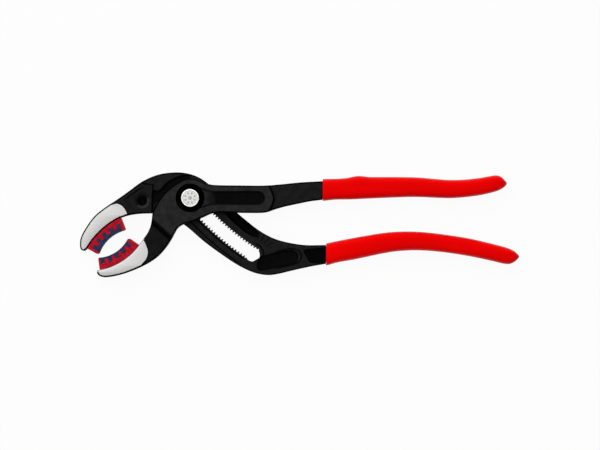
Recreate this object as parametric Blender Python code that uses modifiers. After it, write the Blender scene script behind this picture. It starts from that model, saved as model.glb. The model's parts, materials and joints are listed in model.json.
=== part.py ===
"""Water pump pliers with a curved slot, a push-button joint and soft jaw inserts.

The tool lies flat, closed at its smallest setting. X runs from the jaws to the handles, Y runs
across the handles and Z through the thickness. The origin is on the joint's axis, in the plane
of the back faces. All lengths are in metres.
"""

import math

import bmesh
import bpy
from mathutils import Matrix, Vector
from mathutils.geometry import interpolate_bezier

# The whole tool, measured from the joint's axis.
JAW_REACH = 0.0626
HANDLE_REACH = 0.1876
HEAD_HEIGHT = 0.0596
HEAD_THICKNESS = 0.014

# Clearances between pieces, and the overrun of every cutter.
RUNNING_GAP = 0.0003
SEAT_GAP = 0.0003
BOND_GAP = 0.0002
OVERRUN = 0.002

# The box of the outer lever, the band of the inner lever that slides through it, and the arms.
PLATE_THICKNESS = 0.0042
ARM_THICKNESS = 0.0075
NECK_STEP = 0.0006
HEAD_STEP = 0.0014
FORGED_EDGE = 0.0008
POCKET_DEPTH = 0.0008
DIMPLE_RADIUS = 0.0040
DIMPLE_DEPTH = 0.0010

# The curved slot and its notches.
SLOT_RADIUS = 0.1516
SLOT_HALF_WIDTH = 0.0032
NOTCH_PITCH = 0.0019
NOTCH_STEPS = 24
NOTCH_DEPTH = 0.0007
TOOTH_LAYER = 0.0020
RELIEF_HALF_WIDTH = 0.0042
SLOT_END_RADIUS = 0.0043

# The joint bolt, its spring and the push button with its catch.
BUTTON_RADIUS = 0.00515
BUTTON_PROUD = 0.0005
BUTTON_RIM_WIDTH = 0.0009
BUTTON_DISH_DEPTH = 0.00015
BUTTON_CROWN = 0.0012
STEM_RADIUS = 0.00285
RELEASE_GAP = 0.0002
CATCH_LENGTH = 0.0086
CATCH_THICKNESS = 0.0017
CATCH_TOOTH_HEIGHT = 0.00045
CATCH_TOOTH_GAP = 0.00028
PIN_RADIUS = 0.0016
FLANGE_RADIUS = 0.0063
FLANGE_THICKNESS = 0.0024
BOLT_END_RADIUS = 0.0048
GUIDE_LENGTH = 0.0072
GUIDE_HEIGHT = 0.0011
SPRING_POCKET_RADIUS = 0.0031
SPRING_POCKET_FLOOR = 0.0018
SPRING_WIRE = 0.0006
SPRING_DIAMETER = 0.0047
SPRING_TURNS = 4.5
RING_THICKNESS = 0.0007
RING_WIDTH = 0.00185
RING_HEIGHT = 0.0008
RING_BITE = 0.0004
RING_OPENING = 0.0030
COLLAR_RADIUS = 0.0076
COLLAR_HEIGHT = 0.0017
COLLAR_RECESS = 0.0007

# The dipped grips over the tangs.
GRIP_THICKNESS = 0.0115
GRIP_WALL = 0.0015
GRIP_FRONT_GAP = 0.0004
BUMP_HEIGHT = 0.0008
BUMP_LENGTH = 0.0070

# The soft jaw inserts: a hard backing with two pegs, and a lining keyed into it.
INSERT_WIDTH = 0.0130
UPPER_SEAT_RADIUS = 0.0440
UPPER_GRIP_RADIUS = 0.0207
LOWER_SEAT_RADIUS = 0.0361
LOWER_GRIP_RADIUS = 0.0199
INSERT_CORNER = 0.0009
UPPER_LINING_BAND = 0.0017
LOWER_LINING_BAND = 0.0010
LINING_KEY_DEPTH = 0.0026
PEG_RADIUS = 0.0016
PEG_LENGTH = 0.0034

# Counts and shares that set how finely curves are drawn.
ROUND_SEGMENTS = 48
CURVE_STEPS = 3
ARC_STEPS = 16
HANDLE_SHARE = 0.34
GRIP_SIDES = 24
GRIP_SQUARENESS_SHARE = 0.62

# Outlines. X is a share of the jaw reach left of the axis and of the handle reach right of it,
# and Y is a share of the head height.
PIVOT = (0, 0)

OUTER_TOP_SHARES = (
    (-0.387, -0.337), (-0.360, -0.271), (-0.348, -0.204), (-0.342, -0.151), (-0.320, -0.094),
    (-0.283, -0.025), (-0.229, 0.045), (-0.165, 0.104), (-0.092, 0.157), (-0.037, 0.179),
    (0.004, 0.185), (0.021, 0.177), (0.039, 0.152), (0.057, 0.131), (0.082, 0.122),
    (0.152, 0.119), (0.224, 0.118), (0.273, 0.130), (0.334, 0.149), (0.404, 0.161),
)
OUTER_BOTTOM_SHARES = (
    (0.404, -0.017), (0.364, -0.033), (0.328, -0.056), (0.288, -0.083), (0.258, -0.110),
    (0.237, -0.133), (0.218, -0.143), (0.152, -0.143), (0.106, -0.139), (0.079, -0.141),
    (0.060, -0.155), (0.039, -0.185), (0.009, -0.221), (-0.065, -0.254), (-0.114, -0.288),
    (-0.138, -0.328), (-0.183, -0.414), (-0.233, -0.489), (-0.301, -0.565), (-0.393, -0.630),
    (-0.502, -0.685), (-0.629, -0.733), (-0.757, -0.758), (-0.816, -0.749), (-0.844, -0.722),
    (-0.848, -0.694),
)
OUTER_NECK_SHARES = (
    (-0.452, -0.385), (-0.423, -0.404), (-0.393, -0.471), (-0.383, -0.524), (-0.399, -0.581),
    (-0.434, -0.624), (-0.484, -0.667), (-0.520, -0.830),
)
OUTER_NECK_ROOT_SHARES = (
    (-0.020, -0.615), (-0.060, -0.385), (-0.197, -0.390), (-0.329, -0.271), (-0.480, -0.180),
)
BOSS_END_SHARES = (
    (0.216, 0.240), (0.224, 0.169), (0.238, 0.102), (0.247, 0.045), (0.251, -0.008),
    (0.247, -0.060), (0.238, -0.113), (0.224, -0.185), (0.216, -0.260),
)
OUTER_POCKET_SHARES = (
    (0.015, 0.100), (0.027, 0.112), (0.039, 0.084), (0.054, 0.066), (0.076, 0.059),
    (0.206, 0.058), (0.220, 0.039), (0.225, 0.000), (0.220, -0.039), (0.206, -0.058),
    (0.076, -0.057), (0.057, -0.065), (0.039, -0.084), (0.027, -0.108), (0.015, -0.100),
)
WINDOW_ARM_SHARES = (
    (0.062, 0.250), (0.070, 0.160), (0.076, 0.105), (0.092, 0.055), (0.126, -0.012),
    (0.157, -0.062), (0.188, -0.099), (0.223, -0.130), (0.242, -0.190),
)
WINDOW_WEB_SHARES = (
    (-0.040, -0.420), (-0.136, -0.302), (-0.163, -0.232), (-0.186, -0.190), (-0.226, -0.170),
    (-0.280, -0.162), (-0.420, -0.160),
)

INNER_TOP_SHARES = (
    (-0.964, -0.507), (-0.990, -0.494), (-1.000, -0.457), (-0.994, -0.385), (-0.950, -0.292),
    (-0.871, -0.177), (-0.775, -0.094), (-0.666, -0.017), (-0.547, 0.072), (-0.452, 0.146),
    (-0.365, 0.194), (-0.274, 0.227), (-0.165, 0.243), (-0.074, 0.242), (0.006, 0.223),
    (0.030, 0.190), (0.054, 0.137), (0.082, 0.059), (0.115, -0.051), (0.144, -0.146),
    (0.170, -0.215), (0.197, -0.283), (0.228, -0.347), (0.261, -0.395), (0.303, -0.430),
    (0.352, -0.451), (0.413, -0.450),
)
INNER_BOTTOM_SHARES = (
    (0.413, -0.630), (0.364, -0.658), (0.303, -0.701), (0.267, -0.728), (0.237, -0.739),
    (0.203, -0.724), (0.173, -0.689), (0.139, -0.633), (0.091, -0.532), (0.042, -0.418),
    (-0.001, -0.302), (-0.065, -0.250), (-0.138, -0.200), (-0.219, -0.165), (-0.301, -0.151),
    (-0.402, -0.149), (-0.493, -0.155), (-0.566, -0.168), (-0.629, -0.188),
)
INNER_NECK_SHARES = (
    (-0.555, -0.230), (-0.577, -0.140), (-0.608, -0.087), (-0.641, -0.062), (-0.675, -0.056),
    (-0.720, -0.072), (-0.800, -0.051),
)
INNER_NECK_ROOT_SHARES = (
    (-0.593, 0.230), (-0.338, 0.330), (-0.338, -0.230),
)
INNER_HEAD_SHARES = (
    (-0.344, -0.240), (-0.344, 0.123), (-0.420, 0.127), (-0.500, 0.240), (-0.365, 0.330),
    (0.042, 0.330), (0.042, -0.240),
)
INNER_BAND_SHARES = (
    (-0.356, -0.240), (-0.356, -0.130), (-0.338, -0.075), (-0.303, -0.005), (-0.250, 0.078),
    (-0.186, 0.143), (-0.119, 0.190), (-0.056, 0.218), (0.003, 0.237), (0.020, 0.330),
)
INNER_POCKET_SHARES = (
    (0.218, -0.554), (0.261, -0.527), (0.303, -0.503), (0.320, -0.519), (0.326, -0.562),
    (0.320, -0.610), (0.307, -0.627), (0.264, -0.658), (0.224, -0.685), (0.206, -0.677),
    (0.208, -0.596),
)
DIMPLE_SHARE = (-0.437, -0.027)

# Stations along each grip: X, top edge, bottom edge and thickness.
UPPER_GRIP_SHARES = (
    (0.407, 0.176, -0.024, 0.88), (0.411, 0.182, -0.026, 0.94), (0.443, 0.184, -0.016, 1.0),
    (0.488, 0.193, -0.014, 1.0), (0.528, 0.200, -0.008, 1.0), (0.577, 0.201, -0.001, 1.0),
    (0.662, 0.197, 0.009, 1.0), (0.704, 0.189, 0.008, 1.0), (0.747, 0.178, 0.002, 1.0),
    (0.789, 0.172, -0.002, 1.0), (0.832, 0.179, 0.008, 1.0), (0.875, 0.191, 0.031, 1.0),
    (0.905, 0.208, 0.053, 0.98), (0.931, 0.219, 0.074, 0.94), (0.946, 0.202, 0.091, 0.86),
    (0.957, 0.167, 0.103, 0.66), (0.962, 0.146, 0.116, 0.40),
)
LOWER_GRIP_SHARES = (
    (0.417, -0.440, -0.641, 0.88), (0.421, -0.433, -0.644, 0.94), (0.449, -0.411, -0.617, 1.0),
    (0.492, -0.380, -0.587, 1.0), (0.534, -0.354, -0.555, 1.0), (0.577, -0.334, -0.528, 1.0),
    (0.622, -0.323, -0.505, 1.0), (0.671, -0.323, -0.498, 1.0), (0.714, -0.330, -0.499, 1.0),
    (0.759, -0.344, -0.511, 1.0), (0.811, -0.368, -0.533, 1.0), (0.862, -0.398, -0.561, 1.0),
    (0.917, -0.438, -0.600, 1.0), (0.950, -0.464, -0.626, 0.98), (0.970, -0.482, -0.633, 0.94),
    (0.985, -0.508, -0.614, 0.84), (0.995, -0.535, -0.588, 0.62), (1.000, -0.554, -0.567, 0.38),
)
TANG_STATIONS = 13
BUMP_SHARE = 0.513

# Ends of the seat and gripping arcs, tip first, and places along them as shares of their spans:
# the pegs from the tip, and the lining's keys from the end near the box.
UPPER_SEAT_SHARES = ((-0.9357, -0.4829), (-0.6329, -0.1873))
UPPER_GRIP_END_SHARES = ((-0.8345, -0.5417), (-0.5876, -0.3090))
UPPER_PEG_SHARES = (0.351, 0.789)
UPPER_KEY_START_SHARE = 0.1395
UPPER_KEY_PITCH_SHARE = 0.1827
LOWER_SEAT_SHARES = ((-0.8210, -0.6878), (-0.4658, -0.4524))
LOWER_GRIP_END_SHARES = ((-0.8368, -0.5716), (-0.5623, -0.3823))
LOWER_PEG_SHARES = (0.260, 0.705)
LOWER_KEY_START_SHARE = 0.1479
LOWER_KEY_PITCH_SHARE = 0.1865
KEY_COUNT = 5
KEY_WIDTH_SHARE = 0.56
KEY_TIP_SHARE = 0.42

# Where the joint's axis stands at the last setting.
SLOT_AIM_SHARE = (0.1789, -0.5139)

# Notch shape as shares of the pitch, notches past each end setting, where the slot's round end
# is centred past the last setting, and the catch's teeth each side of its middle one.
NOTCH_OPENING_SHARE = 0.72
NOTCH_ROOT_SHARE = 0.40
SPARE_NOTCH_STEPS = 2
SLOT_END_SHARE = 1.3
CATCH_SIDE_TOOTH_COUNT = 2

# Levels worked out from the sizes above.
MID_HEIGHT = HEAD_THICKNESS / 2
WINDOW_TOP = HEAD_THICKNESS - PLATE_THICKNESS
BAND_BOTTOM = PLATE_THICKNESS + RUNNING_GAP
BAND_TOP = WINDOW_TOP - RUNNING_GAP
TOOTH_FLOOR = BAND_TOP - TOOTH_LAYER
CATCH_BOTTOM = BAND_TOP - CATCH_THICKNESS
BUTTON_TRAVEL = TOOTH_LAYER + RELEASE_GAP
BUTTON_TOP = HEAD_THICKNESS + BUTTON_PROUD
BUTTON_HEAD_FLOOR = WINDOW_TOP + BUTTON_TRAVEL
PIN_TOP = BUTTON_TOP - BUTTON_CROWN - BUTTON_TRAVEL - RELEASE_GAP
SLOT_STEP = NOTCH_PITCH / SLOT_RADIUS
SLOT_AIM = math.atan2(SLOT_AIM_SHARE[1] * HEAD_HEIGHT, SLOT_AIM_SHARE[0] * HANDLE_REACH)
SLOT_BEARING = SLOT_AIM + (math.pi - NOTCH_STEPS * SLOT_STEP) / 2
FIRST_NOTCH = -SPARE_NOTCH_STEPS
LAST_NOTCH = NOTCH_STEPS + SPARE_NOTCH_STEPS
SLOT_END_NOTCH = NOTCH_STEPS + SLOT_END_SHARE
SLOT_CENTRE = Vector((SLOT_RADIUS * math.cos(SLOT_BEARING), SLOT_RADIUS * math.sin(SLOT_BEARING)))
ARM_INSET = (HEAD_THICKNESS - ARM_THICKNESS) / 2
INSERT_INSET = (HEAD_THICKNESS - INSERT_WIDTH) / 2

BLACK_STEEL = ((0.028, 0.029, 0.031), 0.38, 0.85)
BRIGHT_STEEL = ((0.78, 0.78, 0.77), 0.25, 1.0)
DARK_STEEL = ((0.06, 0.06, 0.065), 0.35, 1.0)
SPRING_STEEL = ((0.55, 0.56, 0.58), 0.30, 1.0)
RED_VINYL = ((0.75, 0.012, 0.010), 0.42, 0.0)
RED_PLASTIC = ((0.62, 0.015, 0.030), 0.48, 0.0)
BLUE_LINING = ((0.020, 0.050, 0.160), 0.60, 0.0)


def clear_scene():
    """Remove whatever the scene holds."""
    for item in list(bpy.data.objects):
        bpy.data.objects.remove(item, do_unlink=True)


def new_collection(name):
    """Make a collection under the scene's own."""
    collection = bpy.data.collections.new(name)
    bpy.context.scene.collection.children.link(collection)
    return collection


def paint(item, finish):
    """Give an object its own material from a colour, a roughness and a metallic value."""
    colour, roughness, metallic = finish
    material = bpy.data.materials.new(item.name)
    material.use_nodes = True
    shader = material.node_tree.nodes["Principled BSDF"]
    shader.inputs["Base Color"].default_value = (*colour, 1)
    shader.inputs["Roughness"].default_value = roughness
    shader.inputs["Metallic"].default_value = metallic
    item.data.materials.clear()
    item.data.materials.append(material)


def place(share):
    """Turn a pair of shares into a point in the tool's plane."""
    reach = HANDLE_REACH if share[0] > 0 else JAW_REACH
    return Vector((share[0] * reach, share[1] * HEAD_HEIGHT))


def places(shares):
    """Turn a table of shares into points."""
    return [place(share) for share in shares]


def smooth(points, steps=CURVE_STEPS):
    """Sample a smooth run through the points, both ends included."""
    run = []
    for index in range(len(points) - 1):
        before = points[max(index - 1, 0)]
        here = points[index]
        there = points[index + 1]
        after = points[min(index + 2, len(points) - 1)]
        reach = (there - here).length * HANDLE_SHARE
        handle_out = here + (there - before).normalized() * reach
        handle_in = there - (after - here).normalized() * reach
        piece = interpolate_bezier(here, handle_out, handle_in, there, steps + 1)
        run.extend(piece[:-1])
    run.append(points[-1])
    return [Vector((point[0], point[1])) for point in run]


def arc(centre, radius, start, end, steps=ARC_STEPS):
    """Sample an arc from one angle to another, both ends included."""
    angles = [start + (end - start) * step / steps for step in range(steps + 1)]
    return [polar(centre, radius, angle) for angle in angles]


def polar(centre, radius, angle):
    """A point at an angle and a radius about a centre."""
    return Vector((centre[0] + radius * math.cos(angle), centre[1] + radius * math.sin(angle)))


def bow(end_shares, radius, bulge):
    """Centre and end angles of an arc through two places that bulges left (1) or right (-1)."""
    start, end = places(end_shares)
    half = (end - start) / 2
    rise = math.sqrt(radius ** 2 - half.length_squared)
    across = Vector((-half.y, half.x)).normalized() * bulge
    centre = (start + end) / 2 - across * rise
    spread = math.asin(half.length / radius)
    middle = math.atan2(across.y, across.x)
    return centre, (middle + bulge * spread, middle - bulge * spread)


def along(ends, share):
    """An angle at a share of the way between two end angles."""
    return ends[0] + (ends[1] - ends[0]) * share


def rounded(corner, before, after, radius, steps=CURVE_STEPS):
    """Points that round a corner off between its two neighbours."""
    reach_in = min(radius, (before - corner).length / 2)
    reach_out = min(radius, (after - corner).length / 2)
    start = corner + (before - corner).normalized() * reach_in
    end = corner + (after - corner).normalized() * reach_out
    bend = interpolate_bezier(start, (start + corner) / 2, (end + corner) / 2, end, steps + 1)
    return [Vector((point[0], point[1])) for point in bend]


def slot_place(notch, across):
    """A point in the slot: notches along its centreline, and a distance across it outwards."""
    angle = math.pi + SLOT_BEARING + notch * SLOT_STEP
    return polar(SLOT_CENTRE, SLOT_RADIUS + across, angle)


def as_mesh(item, name, collection):
    """Turn a curve into a closed mesh object that stands in its place."""
    bpy.context.view_layer.update()
    graph = bpy.context.evaluated_depsgraph_get()
    mesh = bpy.data.meshes.new_from_object(item.evaluated_get(graph))
    shape = bmesh.new()
    shape.from_mesh(mesh)
    bmesh.ops.remove_doubles(shape, verts=shape.verts, dist=SEAT_GAP / 100)
    bmesh.ops.recalc_face_normals(shape, faces=shape.faces)
    shape.to_mesh(mesh)
    shape.free()
    solid = bpy.data.objects.new(name, mesh)
    solid.matrix_world = item.matrix_world
    collection.objects.link(solid)
    bpy.data.objects.remove(item, do_unlink=True)
    return solid


def slab(name, outline, bottom, top, collection, edge=0):
    """A flat outline made solid between two heights, with its long edges rounded."""
    curve = bpy.data.curves.new(name, "CURVE")
    curve.dimensions = "2D"
    curve.fill_mode = "BOTH"
    curve.extrude = (top - bottom) / 2 - edge
    curve.bevel_depth = edge
    curve.offset = -edge
    curve.bevel_resolution = 1
    spline = curve.splines.new("POLY")
    spline.points.add(len(outline) - 1)
    for point, target in zip(spline.points, outline):
        point.co = (target[0], target[1], 0, 1)
    spline.use_cyclic_u = True
    item = bpy.data.objects.new(name + "_outline", curve)
    item.location.z = (top + bottom) / 2
    collection.objects.link(item)
    return as_mesh(item, name, collection)


def cylinder(name, radius, bottom, top, collection, centre=PIVOT, top_radius=None):
    """A round piece or cutter that stands along Z."""
    shape = bmesh.new()
    bmesh.ops.create_cone(
        shape,
        cap_ends=True,
        segments=ROUND_SEGMENTS,
        radius1=radius,
        radius2=radius if top_radius is None else top_radius,
        depth=top - bottom,
        matrix=Matrix.Translation((centre[0], centre[1], (top + bottom) / 2)),
    )
    mesh = bpy.data.meshes.new(name)
    shape.to_mesh(mesh)
    shape.free()
    item = bpy.data.objects.new(name, mesh)
    collection.objects.link(item)
    return item


def turned(name, profile, collection, closed=False):
    """A turned piece from a profile of radii and heights, listed from the top down."""
    mesh = bpy.data.meshes.new(name)
    shape = bmesh.new()
    corners = [shape.verts.new((radius, 0, height)) for radius, height in profile]
    for upper, lower in zip(corners, corners[1:]):
        shape.edges.new((upper, lower))
    if closed:
        shape.edges.new((corners[-1], corners[0]))
    shape.to_mesh(mesh)
    shape.free()
    item = bpy.data.objects.new(name, mesh)
    collection.objects.link(item)
    screw = item.modifiers.new("Turn", "SCREW")
    screw.axis = "Z"
    screw.steps = ROUND_SEGMENTS
    screw.render_steps = ROUND_SEGMENTS
    screw.use_merge_vertices = True
    screw.merge_threshold = SEAT_GAP / 100
    return item


def loft(name, stations, squareness, collection):
    """A rounded bar through stations of X, top, bottom and half thickness about mid height."""
    shape = bmesh.new()
    rings = []
    for x, top, bottom, half_thickness in stations:
        ring = []
        for side in range(GRIP_SIDES):
            turn = math.tau * side / GRIP_SIDES
            across = math.copysign(abs(math.cos(turn)) ** squareness, math.cos(turn))
            up = math.copysign(abs(math.sin(turn)) ** squareness, math.sin(turn))
            y = (top + bottom) / 2 + across * (top - bottom) / 2
            ring.append(shape.verts.new((x, y, MID_HEIGHT + up * half_thickness)))
        rings.append(ring)
    for ring, following in zip(rings, rings[1:]):
        for side in range(GRIP_SIDES):
            beside = (side + 1) % GRIP_SIDES
            shape.faces.new((ring[side], ring[beside], following[beside], following[side]))
    shape.faces.new(reversed(rings[0]))
    shape.faces.new(rings[-1])
    bmesh.ops.recalc_face_normals(shape, faces=shape.faces)
    mesh = bpy.data.meshes.new(name)
    shape.to_mesh(mesh)
    shape.free()
    item = bpy.data.objects.new(name, mesh)
    collection.objects.link(item)
    return item


def combine(item, other, operation):
    """Join another solid to an object or cut it away, as a live modifier."""
    modifier = item.modifiers.new(other.name, "BOOLEAN")
    modifier.operation = operation
    modifier.solver = "EXACT"
    modifier.object = other
    other.hide_render = True
    other.display_type = "WIRE"


def cut(item, *others):
    """Cut other solids out of an object."""
    for other in others:
        combine(item, other, "DIFFERENCE")


def join(item, *others):
    """Join other solids to an object."""
    for other in others:
        combine(item, other, "UNION")


def both_faces(name, outline, depth, cutters):
    """Two cutters that sink an outline into the front and back faces by a depth."""
    front = slab(name + "_front", outline, HEAD_THICKNESS - depth, HEAD_THICKNESS + OVERRUN, cutters)
    back = slab(name + "_back", outline, -OVERRUN, depth, cutters)
    return front, back


def grip_stations(shares):
    """Stations along a grip in metres: X, top edge, bottom edge and half thickness."""
    stations = []
    for x, top, bottom, thickness in shares:
        stations.append((x * HANDLE_REACH, top * HEAD_HEIGHT, bottom * HEAD_HEIGHT,
                         thickness * GRIP_THICKNESS / 2))
    return stations


def bumped(stations):
    """Raise the thumb bump on a grip's top edge."""
    place_x = BUMP_SHARE * HANDLE_REACH
    finer = []
    for station, following in zip(stations, stations[1:]):
        finer.append(station)
        inside = station[0] < place_x + BUMP_LENGTH and following[0] > place_x - BUMP_LENGTH
        extra = 4 if inside else 0
        for step in range(1, extra + 1):
            part = step / (extra + 1)
            finer.append(tuple(a + (b - a) * part for a, b in zip(station, following)))
    finer.append(stations[-1])
    raised = []
    for x, top, bottom, half_thickness in finer:
        off = min(abs(x - place_x) / BUMP_LENGTH, 1)
        lift = BUMP_HEIGHT * math.cos(off * math.pi / 2) ** 2
        raised.append((x, top + lift, bottom, half_thickness))
    return raised


def tang_edges(stations):
    """Top and bottom edges of the tang that a grip covers, inside the grip's wall."""
    inset = GRIP_WALL + SEAT_GAP
    front = stations[0][0] - GRIP_FRONT_GAP
    covered = stations[2:TANG_STATIONS]
    top = [Vector((front, stations[0][1] - inset))]
    bottom = [Vector((front, stations[0][2] + inset))]
    for x, upper, lower, _ in covered:
        top.append(Vector((x, upper - inset)))
        bottom.append(Vector((x, lower + inset)))
    return smooth(top, 2), smooth(bottom, 2)[::-1]


def grip(name, shares, parts, cutters, with_bump):
    """A dipped grip with the blind hole that its tang fills."""
    stations = grip_stations(shares)
    body = loft(name, bumped(stations) if with_bump else stations, GRIP_SQUARENESS_SHARE, parts)
    top, bottom = tang_edges(stations)
    gap = Vector((0, SEAT_GAP))
    ahead = Vector((OVERRUN, 0))
    roof = [point + gap for point in top]
    floor = [point - gap for point in bottom]
    end = Vector((SEAT_GAP, 0))
    hole = [roof[0] - ahead] + roof[:-1] + [roof[-1] + end, floor[0] + end] + floor[1:]
    hole += [floor[-1] - ahead]
    low = ARM_INSET - SEAT_GAP
    cut(body, slab(name + "_hole", hole, low, HEAD_THICKNESS - low, cutters))
    return body


def slot_row(side, first, last):
    """One toothed edge of the slot, from the first notch to the last."""
    row = []
    for notch in range(first, last + 1):
        for offset, depth in (
            (-NOTCH_OPENING_SHARE / 2, 0),
            (-NOTCH_ROOT_SHARE / 2, NOTCH_DEPTH),
            (NOTCH_ROOT_SHARE / 2, NOTCH_DEPTH),
            (NOTCH_OPENING_SHARE / 2, 0),
        ):
            row.append(slot_place(notch + offset, side * (SLOT_HALF_WIDTH + depth)))
    return row


def slot_cutters(cutters):
    """The toothed front layer of the slot, the wider relief behind it and its round end."""
    front = slot_row(1, FIRST_NOTCH, LAST_NOTCH) + slot_row(-1, FIRST_NOTCH, LAST_NOTCH)[::-1]
    toothed = slab("slot_teeth", front, TOOTH_FLOOR - OVERRUN, BAND_TOP + OVERRUN, cutters)
    first = FIRST_NOTCH - NOTCH_OPENING_SHARE
    steps = LAST_NOTCH - FIRST_NOTCH
    along = [first + (LAST_NOTCH + NOTCH_ROOT_SHARE - first) * step / steps
             for step in range(steps + 1)]
    wide = [slot_place(notch, RELIEF_HALF_WIDTH) for notch in along]
    wide += [slot_place(notch, -RELIEF_HALF_WIDTH) for notch in reversed(along)]
    relief = slab("slot_relief", wide, BAND_BOTTOM - OVERRUN, TOOTH_FLOOR, cutters)
    end = cylinder("slot_end", SLOT_END_RADIUS, -OVERRUN, HEAD_THICKNESS + OVERRUN, cutters,
                   slot_place(SLOT_END_NOTCH, 0))
    return toothed, relief, end


def peg_holes(name, seat, radius, shares, cutters):
    """Blind holes in a jaw's seat for the pegs of its insert."""
    centre, ends = seat
    deep = PEG_LENGTH + SEAT_GAP
    return [
        peg(f"{name}_{index}", centre, radius, along(ends, share), PEG_RADIUS + SEAT_GAP, deep,
            cutters)
        for index, share in enumerate(shares)
    ]


def peg(name, centre, seat_radius, angle, radius, length, collection):
    """A round peg that stands out of a seat, away from the centre of its arc."""
    item = cylinder(name, radius, -OVERRUN / 2, length, collection)
    foot = polar(centre, seat_radius, angle)
    turn = Matrix.Rotation(angle, 4, "Z") @ Matrix.Rotation(math.pi / 2, 4, "Y")
    item.matrix_world = Matrix.Translation((foot[0], foot[1], MID_HEIGHT)) @ turn
    return item


def make_outer_lever(parts, cutters):
    """The upper handle's lever: arm, box with its window, and lower jaw."""
    stations = grip_stations(UPPER_GRIP_SHARES)
    tang_top, tang_bottom = tang_edges(stations)
    seat = bow(LOWER_SEAT_SHARES, LOWER_SEAT_RADIUS, -1)
    outline = smooth(places(OUTER_TOP_SHARES)) + tang_top + tang_bottom
    outline += smooth(places(OUTER_BOTTOM_SHARES)) + arc(seat[0], LOWER_SEAT_RADIUS, *seat[1])
    lever = slab("outer_lever", outline, 0, HEAD_THICKNESS, parts, FORGED_EDGE)

    far = HANDLE_REACH + OVERRUN
    arm = smooth(places(BOSS_END_SHARES))
    arm += [Vector((far, arm[-1].y)), Vector((far, arm[0].y))]
    cut(lever, *both_faces("outer_arm_recess", arm, ARM_INSET, cutters))

    neck = smooth(places(OUTER_NECK_SHARES)) + places(OUTER_NECK_ROOT_SHARES)
    cut(lever, *both_faces("outer_neck_recess", neck, NECK_STEP, cutters))

    wall = smooth(places(WINDOW_ARM_SHARES))
    web = smooth(places(WINDOW_WEB_SHARES))
    window = wall + web + [Vector((web[-1].x, wall[0].y))]
    cut(lever, slab("box_window", window, PLATE_THICKNESS, WINDOW_TOP, cutters))

    pocket = smooth(places(OUTER_POCKET_SHARES))
    cut(lever, *both_faces("outer_pocket", pocket, POCKET_DEPTH, cutters))

    collar_floor = HEAD_THICKNESS - COLLAR_RECESS - COLLAR_HEIGHT - SEAT_GAP
    bore = BUTTON_RADIUS + RUNNING_GAP
    cut(
        lever,
        cylinder("button_bore", bore, MID_HEIGHT, HEAD_THICKNESS + OVERRUN, cutters),
        cylinder("collar_bore", COLLAR_RADIUS + SEAT_GAP, collar_floor, HEAD_THICKNESS + OVERRUN,
                 cutters),
        cylinder("bolt_bore", FLANGE_RADIUS + RUNNING_GAP, -OVERRUN, MID_HEIGHT, cutters),
        cylinder("ring_groove", FLANGE_RADIUS + RUNNING_GAP + RING_BITE + SEAT_GAP,
                 RING_HEIGHT - SEAT_GAP, RING_HEIGHT + RING_THICKNESS + SEAT_GAP, cutters),
    )
    cut(lever, *peg_holes("lower_peg_hole", seat, LOWER_SEAT_RADIUS, LOWER_PEG_SHARES, cutters))
    paint(lever, BLACK_STEEL)
    return lever


def make_inner_lever(parts, cutters):
    """The lower handle's lever: arm, slotted band through the box, and upper jaw."""
    stations = grip_stations(LOWER_GRIP_SHARES)
    tang_top, tang_bottom = tang_edges(stations)
    seat = bow(UPPER_SEAT_SHARES, UPPER_SEAT_RADIUS, 1)
    outline = smooth(places(INNER_TOP_SHARES)) + tang_top + tang_bottom
    outline += smooth(places(INNER_BOTTOM_SHARES))
    outline += arc(seat[0], UPPER_SEAT_RADIUS, *reversed(seat[1]))
    lever = slab("inner_lever", outline, 0, HEAD_THICKNESS, parts, FORGED_EDGE)

    neck = smooth(places(INNER_NECK_SHARES)) + places(INNER_NECK_ROOT_SHARES)
    cut(lever, *both_faces("inner_neck_recess", neck, NECK_STEP, cutters))
    cut(lever, *both_faces("inner_head_recess", places(INNER_HEAD_SHARES), HEAD_STEP, cutters))

    grip_front = stations[0][0]
    far = HANDLE_REACH + OVERRUN
    band = smooth(places(INNER_BAND_SHARES))
    below = -HEAD_HEIGHT
    band += [Vector((grip_front, band[-1].y)), Vector((grip_front, below))]
    band += [Vector((band[0].x, below))]
    cut(lever, *both_faces("inner_band_recess", band, BAND_BOTTOM, cutters))
    tang_front = grip_front - OVERRUN
    tang = [Vector((tang_front, 0)), Vector((far, 0)), Vector((far, below)),
            Vector((tang_front, below))]
    cut(lever, *both_faces("inner_tang_recess", tang, ARM_INSET, cutters))

    pocket = smooth(places(INNER_POCKET_SHARES + INNER_POCKET_SHARES[:1]))[:-1]
    cut(lever, *both_faces("inner_pocket", pocket, BAND_BOTTOM + POCKET_DEPTH, cutters))
    cut(lever, *slot_cutters(cutters))

    top = HEAD_THICKNESS - NECK_STEP
    dimple = cylinder("dimple", DIMPLE_RADIUS / 2, top - DIMPLE_DEPTH, top + OVERRUN, cutters,
                      place(DIMPLE_SHARE), DIMPLE_RADIUS * (1 + OVERRUN / DIMPLE_DEPTH / 2))
    cut(lever, dimple)
    cut(lever, *peg_holes("upper_peg_hole", seat, UPPER_SEAT_RADIUS, UPPER_PEG_SHARES, cutters))
    paint(lever, BLACK_STEEL)
    return lever


def key_profile(centre, radius, band, start, pitch, gap):
    """The keyed edge between lining and backing, from the first key's side to the last's."""
    run = []
    half = abs(pitch) * KEY_WIDTH_SHARE / 2
    half_tip = abs(pitch) * KEY_TIP_SHARE / 2
    sign = math.copysign(1, pitch)
    swell = gap / (radius + band)
    for index in range(KEY_COUNT):
        angle = start + pitch * index
        foot = radius + band + gap
        tip = radius + band + LINING_KEY_DEPTH + gap
        run.append(polar(centre, foot, angle - sign * (half + swell)))
        run.append(polar(centre, tip, angle - sign * (half_tip + swell)))
        run.append(polar(centre, tip, angle + sign * (half_tip + swell)))
        run.append(polar(centre, foot, angle + sign * (half + swell)))
    return run


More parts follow.
